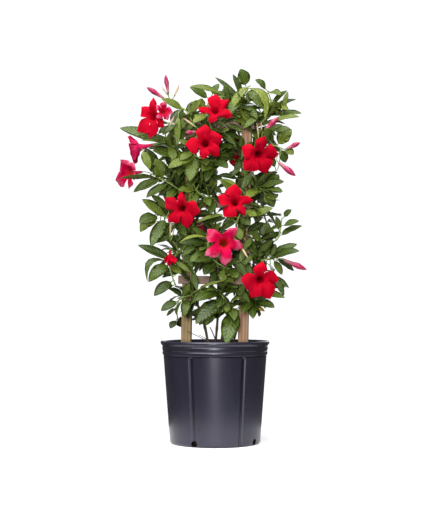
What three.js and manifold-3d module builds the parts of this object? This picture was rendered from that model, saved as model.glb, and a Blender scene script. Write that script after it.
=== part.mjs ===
import * as THREE from 'three';
import { mergeVertices } from 'three/addons/utils/BufferGeometryUtils.js';
import Module from 'manifold-3d';

// A mandevilla that twines up a wooden ladder trellis in a nursery pot. Millimetres, +Z up.
// The origin is the middle of the pot's flat underside. -Y is the front.

const wasm = await Module();
wasm.setup();

// Driving dimensions
const GAP = 0.3;
const POT = {
  height: 245,
  lipRadius: 132,
  bandRadius: 128.4,
  shoulderRadius: 122.3,
  shoulderHeight: 209,
  footRadius: 108.6,
  footEdge: 4,
  wall: 2.2,
  floor: 3,
  linerTop: 22,
  segments: 30,
};
const FLUTE = { count: 6, firstAngle: -28.5, width: 16, floor: 4, depth: 2.6, over: 1 };
const DRAIN = { count: 4, firstAngle: -29, radius: 7.5, height: 8, depth: 30, sides: 8 };
const SOIL = {
  edge: 222,
  slope: { radius: 92, height: 225.5 },
  hump: { radius: 56, height: 228 },
  middle: 232,
};
const TRELLIS = { x: -5.6, y: 8, lean: 1.15, yaw: -8.5, span: 139 };
const POST = { width: 24, depth: 22, foot: 75, top: 795, chamfer: 2 };
const RUNG = {
  length: 178,
  height: 20,
  depth: 12,
  chamfer: 1.5,
  levels: { low: 390, middle: 575, top: 766 },
};
const NAIL = { headRadius: 3.2, headHeight: 1.1, shankRadius: 1.4, length: 28, sides: 6 };
const VINE = {
  radius: 3.1,
  tipRadius: 2,
  sides: 5,
  step: 29,
  root: 205,
  top: 800,
  coil: { radius: 22, pitch: 188 },
  start: [[13, 2, 205], [20, -6, 262], [34, -5, 307]],
  weave: { depth: 22, set: 4, step: 30, sway: 11, swayLength: 85, swayStart: 230 },
};
const STEM = { radius: 2.3, tipRadius: 1.9, sides: 3, step: 27 };
const PEDICEL = { radius: 1.2, sides: 3, calyx: 2.9, calyxLength: 6, steps: 3, bend: 0.45, longestBend: 30 };
const LEAF = { thickness: 1.4, baseThickness: 2.6, fold: 0.1, petiole: 9, sunk: 0.8 };
const TUBE = { base: 2.4, throat: 7.2, throatAt: 0.5, lip: 11.5, length: 62, deep: 0.52 };
const PETAL = {
  across: 84,
  skin: 0.9,
  rim: 1.44,
  back: 1.08,
  rise: 0.6,
  cup: 8,
  middle: { r: 0.5, rise: 2.2 },
};

// The reference picture: its scale where the pot's axis stands, and the eye it was taken from.
const PICTURE = { scale: 2.418, column: 212.9, horizon: 306 };
const EYE = { x: -5, y: -2630, z: 328 };

const UP = new THREE.Vector3(0, 0, 1);
const TO_EYE = new THREE.Vector3(0, -0.75, 0.66).normalize();

function radians(degrees) {
  return THREE.MathUtils.degToRad(degrees);
}

// The point seen at a column and row of the picture, at a depth behind (+) or before (-) the pot's axis.
function at([column, row, depth]) {
  const scale = PICTURE.scale * (depth - EYE.y) / -EYE.y;
  return new THREE.Vector3(
    EYE.x + (column - PICTURE.column) * scale,
    depth,
    EYE.z + (PICTURE.horizon - row) * scale,
  );
}

function seen(point) {
  const scale = PICTURE.scale * (point.y - EYE.y) / -EYE.y;
  return [PICTURE.column + (point.x - EYE.x) / scale, PICTURE.horizon - (point.z - EYE.z) / scale];
}

// A seeded draw between 0 and 1 for a list of whole numbers.
function draw(...keys) {
  let hash = 20240611;
  for (const key of keys) {
    hash = Math.imul(hash ^ (key + 0x7ed55d16), 0x9e3779b1);
    hash ^= hash >>> 15;
    hash = Math.imul(hash, 0x85ebca6b);
    hash ^= hash >>> 13;
  }
  return (hash >>> 0) / 4294967296;
}

// Closed meshes

function solidFrom(points, triangles) {
  let volume = 0;
  for (const [a, b, c] of triangles) {
    volume += points[a].dot(points[b].clone().cross(points[c]));
  }
  const faces = volume < 0 ? triangles.map(([a, b, c]) => [a, c, b]) : triangles;
  const mesh = new wasm.Mesh({
    numProp: 3,
    vertProperties: new Float32Array(points.flatMap((point) => point.toArray())),
    triVerts: new Uint32Array(faces.flat()),
  });
  return new wasm.Manifold(mesh);
}

function solidOf(geometry) {
  const bare = geometry.clone();
  bare.deleteAttribute('normal');
  bare.deleteAttribute('uv');
  const merged = mergeVertices(bare, 1e-4);
  const place = merged.getAttribute('position');
  const points = [];
  for (let i = 0; i < place.count; i += 1) {
    points.push(new THREE.Vector3().fromBufferAttribute(place, i));
  }
  const triangles = [];
  const index = merged.getIndex().array;
  for (let i = 0; i < index.length; i += 3) {
    const [a, b, c] = [index[i], index[i + 1], index[i + 2]];
    if (a !== b && b !== c && c !== a) {
      triangles.push([a, b, c]);
    }
  }
  return solidFrom(points, triangles);
}

function geometryOf(solid) {
  const mesh = solid.getMesh();
  const geometry = new THREE.BufferGeometry();
  geometry.setAttribute('position', new THREE.BufferAttribute(mesh.vertProperties, 3));
  geometry.setIndex(new THREE.BufferAttribute(mesh.triVerts, 1));
  geometry.computeVertexNormals();
  return geometry;
}

function joined(solids) {
  return solids.reduce((whole, solid) => whole.add(solid));
}

// Rings of points joined in order, with both ends closed.
function skin(rings, closeStart = true, closeEnd = true) {
  const points = rings.flat();
  const triangles = [];
  const starts = [];
  let start = 0;
  for (const ring of rings) {
    starts.push(start);
    start += ring.length;
  }
  for (let r = 0; r + 1 < rings.length; r += 1) {
    const [near, far] = [rings[r], rings[r + 1]];
    const sides = Math.max(near.length, far.length);
    for (let k = 0; k < sides; k += 1) {
      const a = starts[r] + (k % near.length);
      const b = starts[r] + ((k + 1) % near.length);
      const c = starts[r + 1] + ((k + 1) % far.length);
      const d = starts[r + 1] + (k % far.length);
      if (near.length === 1) {
        triangles.push([a, c, d]);
      } else if (far.length === 1) {
        triangles.push([a, b, d]);
      } else {
        triangles.push([a, b, c], [a, c, d]);
      }
    }
  }
  const cap = (ring, from, flip) => {
    for (let k = 1; k + 1 < ring.length; k += 1) {
      triangles.push(flip ? [from, from + k + 1, from + k] : [from, from + k, from + k + 1]);
    }
  };
  if (closeStart) {
    cap(rings[0], 0, true);
  }
  if (closeEnd) {
    cap(rings.at(-1), starts.at(-1), false);
  }
  return solidFrom(points, triangles);
}

// A tube of a few sides through points, with a radius at each.
function sweep(points, radii, sides) {
  const rings = [];
  let across = null;
  points.forEach((point, i) => {
    const before = points[Math.max(i - 1, 0)];
    const after = points[Math.min(i + 1, points.length - 1)];
    const along = after.clone().sub(before).normalize();
    const square = new THREE.Vector3(Math.abs(along.x) < 0.9 ? 1 : 0, Math.abs(along.x) < 0.9 ? 0 : 1, 0);
    const seed = across ?? square;
    across = seed.clone().addScaledVector(along, -seed.dot(along)).normalize();
    const over = along.clone().cross(across);
    const ring = [];
    for (let k = 0; k < sides; k += 1) {
      const turn = 2 * Math.PI * k / sides;
      ring.push(point.clone()
        .addScaledVector(across, radii[i] * Math.cos(turn))
        .addScaledVector(over, radii[i] * Math.sin(turn)));
    }
    rings.push(ring);
  });
  return skin(rings);
}

function evenly(curve, step) {
  const count = Math.max(2, Math.round(curve.getLength() / step));
  return curve.getSpacedPoints(count);
}

function taper(from, to, count) {
  return Array.from({ length: count }, (_, i) => THREE.MathUtils.lerp(from, to, i / (count - 1)));
}

// Pot

function potProfile() {
  const { lipRadius: lip, bandRadius: band, shoulderRadius: shoulder, shoulderHeight, height } = POT;
  const inner = shoulder - POT.wall;
  return [
    [0, 0],
    [POT.footRadius - 4.5, 0],
    [POT.footRadius, POT.footEdge],
    [shoulder, shoulderHeight],
    [band - 1.4, shoulderHeight + 2.5],
    [band - 0.8, shoulderHeight + 8.5],
    [band - 3.8, shoulderHeight + 12],
    [band - 0.2, shoulderHeight + 14.5],
    [band, shoulderHeight + 20.5],
    [band - 2.6, shoulderHeight + 24],
    [lip - 0.8, shoulderHeight + 26.5],
    [lip, shoulderHeight + 31.5],
    [lip - 3, height],
    [lip - 6.5, height - 1.5],
    [inner, shoulderHeight + POT.linerTop],
    [innerRadius(POT.floor), POT.floor],
    [0, POT.floor],
  ].map(([x, y]) => new THREE.Vector2(x, y));
}

function innerRadius(z) {
  const slope = (POT.shoulderRadius - POT.footRadius) / (POT.shoulderHeight - POT.footEdge);
  return POT.shoulderRadius - POT.wall - slope * (POT.shoulderHeight + POT.linerTop - z);
}

function lathe(profile) {
  const geometry = new THREE.LatheGeometry(profile, POT.segments);
  geometry.rotateX(Math.PI / 2);
  return solidOf(geometry);
}

// A flute's cutter: a bar with sloping sides that stands FLUTE.over proud of the wall.
function flute(angle) {
  const { width, floor, depth, over } = FLUTE;
  const slope = (POT.shoulderRadius - POT.footRadius) / (POT.shoulderHeight - POT.footEdge);
  const wide = width + (width - floor) * over / depth;
  const rings = [-over, POT.shoulderHeight - over].map((z) => [
    [-floor / 2, -depth],
    [-wide / 2, over],
    [wide / 2, over],
    [floor / 2, -depth],
  ].map(([x, out]) => new THREE.Vector3(x, slope * (POT.shoulderHeight - z) - POT.shoulderRadius - out, z)
    .applyAxisAngle(UP, radians(angle))));
  return skin(rings);
}

function drainHole(angle) {
  const drill = new THREE.CylinderGeometry(DRAIN.radius, DRAIN.radius, DRAIN.depth, DRAIN.sides);
  drill.translate(0, -POT.footRadius, 0);
  drill.rotateZ(radians(angle));
  drill.translate(0, 0, DRAIN.height);
  return solidOf(drill);
}

function pot() {
  let body = lathe(potProfile());
  for (let i = 0; i < FLUTE.count; i += 1) {
    body = body.subtract(flute(FLUTE.firstAngle + i * 360 / FLUTE.count));
  }
  for (let i = 0; i < DRAIN.count; i += 1) {
    body = body.subtract(drainHole(DRAIN.firstAngle + i * 360 / DRAIN.count));
  }
  return body;
}

// Trellis, in a frame of its own: X along the rungs, Y back, Z up the posts

const trellis = new THREE.Group();
trellis.position.set(TRELLIS.x, TRELLIS.y, 0);
trellis.rotation.set(0, radians(TRELLIS.lean), radians(TRELLIS.yaw), 'YZX');
trellis.updateMatrixWorld(true);

function inTrellis(x, y, z) {
  return new THREE.Vector3(x, y, z).applyMatrix4(trellis.matrixWorld);
}

function chamfered(width, depth, cut) {
  const [x, y] = [width / 2, depth / 2];
  const outline = new THREE.Shape();
  outline.moveTo(x - cut, -y);
  outline.lineTo(x, -y + cut);
  outline.lineTo(x, y - cut);
  outline.lineTo(x - cut, y);
  outline.lineTo(-x + cut, y);
  outline.lineTo(-x, y - cut);
  outline.lineTo(-x, -y + cut);
  outline.lineTo(-x + cut, -y);
  return outline;
}

function postBody(side, grow = 0) {
  const outline = chamfered(POST.width + 2 * grow, POST.depth + 2 * grow, POST.chamfer);
  const length = POST.top - POST.foot + grow;
  const body = new THREE.ExtrudeGeometry(outline, { depth: length, bevelEnabled: false });
  body.translate(side * TRELLIS.span / 2, 0, POST.foot - grow);
  return body;
}

function rungBody(level) {
  const outline = chamfered(RUNG.height, RUNG.depth, RUNG.chamfer);
  const body = new THREE.ExtrudeGeometry(outline, { depth: RUNG.length, bevelEnabled: false });
  body.translate(0, 0, -RUNG.length / 2);
  body.rotateY(Math.PI / 2);
  body.translate(0, -(POST.depth + RUNG.depth) / 2 - GAP, level);
  return body;
}

function nailProfile(grow = 0) {
  return [
    [0, -grow],
    [NAIL.headRadius, -grow],
    [NAIL.headRadius, NAIL.headHeight],
    [NAIL.shankRadius + grow, NAIL.headHeight],
    [NAIL.shankRadius + grow, NAIL.length + grow],
    [0, NAIL.length + grow],
  ].map(([x, y]) => new THREE.Vector2(x, y));
}

function nailBody(side, level, grow = 0) {
  const body = new THREE.LatheGeometry(nailProfile(grow), NAIL.sides);
  const face = -POST.depth / 2 - GAP - RUNG.depth;
  body.translate(side * TRELLIS.span / 2, face - GAP - NAIL.headHeight, level);
  return body;
}

// Vines

function vineCurve(name) {
  const points = [];
  if (name === 'middle') {
    const { depth, set, step, sway, swayLength, swayStart } = VINE.weave;
    const front = set - (POST.depth + RUNG.depth) / 2;
    for (let z = VINE.root; z < VINE.top + step; z += step) {
      const beat = Math.cos(Math.PI * (z - RUNG.levels.low) / (RUNG.levels.middle - RUNG.levels.low));
      points.push(inTrellis(sway * Math.sin((z - swayStart) / swayLength), front - depth * beat, z));
    }
    return new THREE.CatmullRomCurve3(points, false, 'catmullrom');
  }
  const side = name === 'left' ? -1 : 1;
  for (const [x, y, z] of VINE.start) {
    points.push(inTrellis(side * x, y, z));
  }
  const { radius, pitch } = VINE.coil;
  const inside = RUNG.levels.low - pitch / 4;
  for (let z = inside; z <= VINE.top; z += pitch / 8) {
    const turn = 2 * Math.PI * (z - inside) / pitch;
    const x = side * (TRELLIS.span / 2 - radius * Math.cos(turn));
    points.push(inTrellis(x, radius * Math.sin(turn), z));
  }
  return new THREE.CatmullRomCurve3(points, false, 'catmullrom');
}

function vineTube(name, grow = 0) {
  const points = evenly(vineCurve(name), VINE.step);
  const radii = taper(VINE.radius + grow, VINE.tipRadius + grow, points.length);
  return sweep(points, radii, VINE.sides);
}

function vinePoint(name, height) {
  const points = vineCurve(name).getSpacedPoints(400);
  return points.reduce((best, point) => (
    Math.abs(point.z - height) < Math.abs(best.z - height) ? point : best));
}

// Soil

function soil() {
  const bottom = POT.floor + GAP;
  const profile = [
    [0, bottom],
    [innerRadius(bottom) - GAP, bottom],
    [innerRadius(SOIL.edge) - GAP, SOIL.edge],
    [SOIL.slope.radius, SOIL.slope.height],
    [SOIL.hump.radius, SOIL.hump.height],
    [0, SOIL.middle],
  ].map(([x, y]) => new THREE.Vector2(x, y));
  let body = lathe(profile);
  for (const side of [-1, 1]) {
    body = body.subtract(solidOf(postBody(side, GAP).applyMatrix4(trellis.matrixWorld)));
  }
  for (const name of Object.keys(vines)) {
    body = body.subtract(vineTube(name, GAP));
  }
  return body;
}

// Blooms: a narrow tube that opens into a throat and five lobes, each skewed like a pinwheel's

const LOBE = [
  { r: 0.62, turn: -31, rise: 4 },
  { r: 0.9, turn: -22, rise: 3 },
  { r: 1, turn: 9, rise: 0 },
  { r: 0.82, turn: 31, rise: 3.5 },
  { r: 0.5, turn: 33, rise: 3.5 },
];

// A petal: how many degrees it is turned from its even place, and its length and width beside an even one's.
const EVEN_PETAL = [0, 1, 1];

function facing({ yaw, pitch }) {
  const [turn, tilt] = [radians(yaw), radians(pitch)];
  return new THREE.Vector3(
    Math.sin(turn) * Math.cos(tilt),
    -Math.cos(turn) * Math.cos(tilt),
    Math.sin(tilt),
  );
}

function bloomFrame(bloom) {
  const out = facing(bloom);
  const right = new THREE.Vector3().crossVectors(out, Math.abs(out.z) > 0.9 ? TO_EYE : UP).normalize();
  const top = new THREE.Vector3().crossVectors(right, out);
  const mouth = at(bloom.mouth);
  return (r, turn, z) => mouth.clone()
    .addScaledVector(right, r * Math.cos(radians(turn)))
    .addScaledVector(top, r * Math.sin(radians(turn)))
    .addScaledVector(out, z);
}

function tubeLength(bloom) {
  return bloom.tube ?? TUBE.length;
}

function bloomBody(bloom) {
  const place = bloomFrame(bloom);
  const size = bloom.across / PETAL.across;
  const length = tubeLength(bloom);
  const flare = bloom.flare ?? 1;
  const lip = TUBE.lip * size * flare;
  const reach = bloom.across / 2 - lip;
  const cup = radians(bloom.cup ?? PETAL.cup);
  const slim = bloom.slim ?? 1;
  const spin = bloom.spin ?? 90;
  const points = [];
  const triangles = [];
  const ring = (r, z) => {
    const from = points.length;
    for (let k = 0; k < 10; k += 1) {
      points.push(place(r, spin + k * 36, z));
    }
    return from;
  };
  const band = (low, high) => {
    for (let k = 0; k < 10; k += 1) {
      const next = (k + 1) % 10;
      triangles.push([low + k, low + next, high + next], [low + k, high + next, high + k]);
    }
  };
  const base = ring(TUBE.base, -length);
  const throat = ring(TUBE.throat * size * Math.sqrt(flare), -length * TUBE.throatAt);
  const under = ring(lip, -PETAL.rim);
  const inside = ring(lip - PETAL.skin, 0);
  band(base, throat);
  band(throat, under);
  for (let k = 1; k < 9; k += 1) {
    triangles.push([base, base + k + 1, base + k]);
  }
  const deep = points.length;
  points.push(place(0, 0, -length * TUBE.deep));
  for (let k = 0; k < 10; k += 1) {
    triangles.push([inside + k, inside + (k + 1) % 10, deep]);
  }
  const lobePoint = ({ r, turn, rise }, [middle, stretch, width], sink) => {
    const run = r * reach * stretch;
    const up = rise * size * PETAL.rise;
    return place(
      lip + run * Math.cos(cup) - up * Math.sin(cup),
      middle + turn * slim * width,
      run * Math.sin(cup) + up * Math.cos(cup) - sink,
    );
  };
  for (let lobe = 0; lobe < 5; lobe += 1) {
    const [left, mid, right] = [2 * lobe, 2 * lobe + 1, (2 * lobe + 2) % 10];
    const [shift, stretch, width] = bloom.petals?.[lobe] ?? EVEN_PETAL;
    const petal = [spin + mid * 36 + shift, stretch, width];
    const face = [0, PETAL.back].map((sink) => {
      const from = points.length;
      points.push(lobePoint({ ...PETAL.middle, turn: 0 }, petal, sink));
      for (const corner of LOBE) {
        points.push(lobePoint(corner, petal, sink));
      }
      return from;
    });
    const edge = (from, ringStart) => [
      ringStart + left,
      ...LOBE.map((_, i) => from + 1 + i),
      ringStart + right,
      ringStart + mid,
    ];
    const top = edge(face[0], inside);
    const bottom = edge(face[1], under);
    top.forEach((a, i) => {
      const b = (i + 1) % top.length;
      triangles.push([face[0], a, top[b]]);
      triangles.push([face[1], bottom[b], bottom[i]]);
    });
    for (let i = 0; i <= LOBE.length; i += 1) {
      triangles.push([bottom[i], bottom[i + 1], top[i + 1]], [bottom[i], top[i + 1], top[i]]);
    }
  }
  return solidFrom(points, triangles);
}

// Buds: closed spindles, fattest past the middle

const SPINDLE = [[0, 0.45], [0.3, 0.62], [0.62, 1], [0.86, 0.55], [1, 0.06]];
const FINEST = 0.35;

function spindle(from, to, radius, sides) {
  const points = SPINDLE.map(([t]) => from.clone().lerp(to, t));
  return sweep(points, SPINDLE.map(([, r]) => Math.max(r * radius, FINEST)), sides);
}

function budEnds(bud) {
  return [at(bud.base), at(bud.tip)];
}

// Leaves: a petiole sunk in the stem, and a blade folded a little along its midrib

function leafFrame(leaf) {
  const along = leaf.tip.clone().sub(leaf.root);
  const length = along.length();
  along.normalize();
  const lean = leaf.up.clone().addScaledVector(along, -leaf.up.dot(along)).normalize();
  const normal = lean.applyAxisAngle(along, radians(leaf.roll));
  const side = along.clone().cross(normal);
  const knee = leaf.root.clone().addScaledVector(along, leaf.petiole ?? LEAF.petiole);
  const bow = knee.clone().lerp(leaf.tip, 0.5).addScaledVector(normal, leaf.arch * length);
  return { knee, bow, side };
}

// Each ring of a blade: how far along the midrib it is, and its share of the blade's width.
const RINGS = {
  full: [[0.12, 0.62], [0.42, 1], [0.76, 0.72]],
  plain: [[0.2, 0.8], [0.62, 0.92]],
};

// The rings of a blade: left edge, top of the midrib, right edge, underside. grow fattens it for a test of
// clearance.
function leafRings(leaf, grow = 0) {
  const { knee, bow, side } = leafFrame(leaf);
  const curve = new THREE.QuadraticBezierCurve3(knee, bow, leaf.tip);
  return RINGS[leaf.rings ?? 'full'].map(([t, share], i) => {
    const centre = curve.getPoint(t);
    const normal = side.clone().cross(curve.getTangent(t)).normalize();
    const half = share * leaf.width / 2 + grow;
    const thick = (i === 0 ? LEAF.baseThickness : LEAF.thickness) / 2 + grow;
    const lift = share * leaf.width * LEAF.fold;
    return [
      centre.clone().addScaledVector(side, -half).addScaledVector(normal, lift),
      centre.clone().addScaledVector(normal, thick),
      centre.clone().addScaledVector(side, half).addScaledVector(normal, lift),
      centre.clone().addScaledVector(normal, -thick),
    ];
  });
}

// The petiole starts at a point sunk in the stem and widens into the blade.
function leafBody(leaf, grow = 0) {
  const sunk = leaf.root.clone().sub(leaf.tip).setLength(LEAF.sunk).add(leaf.root);
  return skin([[sunk], ...leafRings(leaf, grow), [leaf.tip]], false, false);
}

function bladeBody(leaf, grow = 0) {
  return skin([...leafRings(leaf, grow), [leaf.tip]], true, false);
}

// What the plant is made of, by its place in the picture: column, row, depth

const BLOOMS = {
  upper_left_red: {
    mouth: [151.5, 115.5, -78], yaw: -30, pitch: 6, across: 82, spin: -3, tint: 'red',
    petals: [[0, 0.84, 0.87], [-20, 1.06, 0.47], [36, 0.8, 0.53], [10, 1.03, 0.68], [4, 0.9, 0.93]],
  },
  upper_left_pink: {
    mouth: [163, 110, -132], yaw: 10, pitch: 12, across: 50, spin: 60, cup: 24, tube: 44, tint: 'pink',
  },
  top_red: {
    mouth: [215.5, 109, -88], yaw: 0, pitch: 20, across: 80, spin: -40, tube: 46, tint: 'red',
    petals: [[10, 1.03, 0.65], [16, 1.05, 0.77], [-7, 1, 0.51], [-18, 0.94, 0.6], [0, 0.7, 0.8]],
  },
  high_red: {
    mouth: [205, 142.5, -104], yaw: -4, pitch: 4, across: 88, spin: -38, tint: 'red',
    petals: [[-9, 0.95, 1.1], [12, 0.9, 0.91], [9, 0.85, 0.9], [-1, 0.99, 0.73], [-14, 0.9, 0.75]],
  },
  right_red: {
    mouth: [259, 154, -84], yaw: 6, pitch: -14, across: 86, spin: -14, tint: 'red',
    petals: [[-8, 0.85, 1.02], [11, 0.72, 0.86], [4, 1, 0.8], [-1, 1.03, 0.88], [-6, 1.06, 0.84]],
  },
  left_red: {
    mouth: [181.5, 208, -98], yaw: -8, pitch: -4, across: 84, spin: -10, tint: 'red',
    petals: [[-3, 1.03, 0.85], [-12, 0.8, 0.5], [12, 0.92, 0.91], [4, 1.06, 0.78], [-4, 0.97, 0.85]],
  },
  middle_red: {
    mouth: [235, 202, -98], yaw: 0, pitch: 10, across: 80, spin: -23, tint: 'red',
    petals: [[0, 0.95, 0.81], [-4, 1.03, 0.99], [9, 1.01, 0.55], [-1, 0.88, 0.5], [-4, 0.92, 1.05]],
  },
  middle_pink: {
    mouth: [224, 243, -108], yaw: 4, pitch: 4, across: 92, spin: 5, slim: 0.78, tint: 'pink',
    petals: [[-8, 0.97, 1.15], [13, 0.94, 0.75], [3, 0.92, 0.75], [5, 1.06, 0.76], [-8, 1.03, 0.77]],
  },
  low_red: {
    mouth: [260.5, 280, -98], yaw: 6, pitch: -6, across: 88, spin: -27, tint: 'red',
    petals: [[-18, 0.92, 0.97], [7, 0.8, 1], [16, 0.86, 0.87], [8, 1.06, 0.76], [-7, 0.97, 0.65]],
  },
  side_pink_upper: {
    mouth: [137.6, 147, -58], yaw: -94, pitch: -10, across: 82, spin: 90, cup: 60, flare: 1.45, tube: 36,
    tint: 'pink',
  },
  side_pink_lower: {
    mouth: [130, 172.5, -66], yaw: -64, pitch: -10, across: 76, spin: 90, cup: 16, flare: 1.4, tube: 36,
    tint: 'pink',
    petals: [[0, 0.55, 0.95], [0, 0.6, 0.94], [0, 0.8, 0.97], [-6, 1.06, 0.55], [0, 0.95, 0.9]],
  },
  hanging_red: {
    mouth: [170, 261, -62], yaw: 0, pitch: -78, across: 30, spin: 90, cup: 66, flare: 2.2, tube: 26,
    tint: 'red',
  },
  back_red: { mouth: [238, 150, 100], yaw: 172, pitch: 6, across: 84, spin: 80, tint: 'red' },
  back_pink: { mouth: [196, 236, 104], yaw: 188, pitch: 4, across: 84, spin: 100, tint: 'pink' },
};

const BUDS = {
  top_left_side: { base: [163.5, 97, -50], tip: [146, 85.5, -58], radius: 5 },
  top_left_tall: { base: [168, 92, -50], tip: [165, 73, -54], radius: 4.6 },
  high_red: { base: [195, 131, -74], tip: [185.5, 132, -86], radius: 4.2 },
  right_tall: { base: [264.5, 130, -62], tip: [279, 116, -68], radius: 5.4 },
  right_short: { base: [287, 148, -55], tip: [300.7, 141.8, -58], radius: 4.5 },
  right_low: { base: [279, 162, -60], tip: [296, 175.5, -64], radius: 5.4 },
  low_right: { base: [284, 260, -50], tip: [306.8, 269.7, -54], radius: 4.6 },
};

const vines = { left: vineTube('left'), middle: vineTube('middle'), right: vineTube('right') };

// A leaf: where it leaves its stem and where its tip is seen, the tip's depth, and its width. roll turns it
// about its midrib and arch lifts its middle.
function leaf(base, tip, depth, width, roll = 0, arch = 0.1) {
  return { base, tip, depth, width, roll, arch };
}

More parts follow.
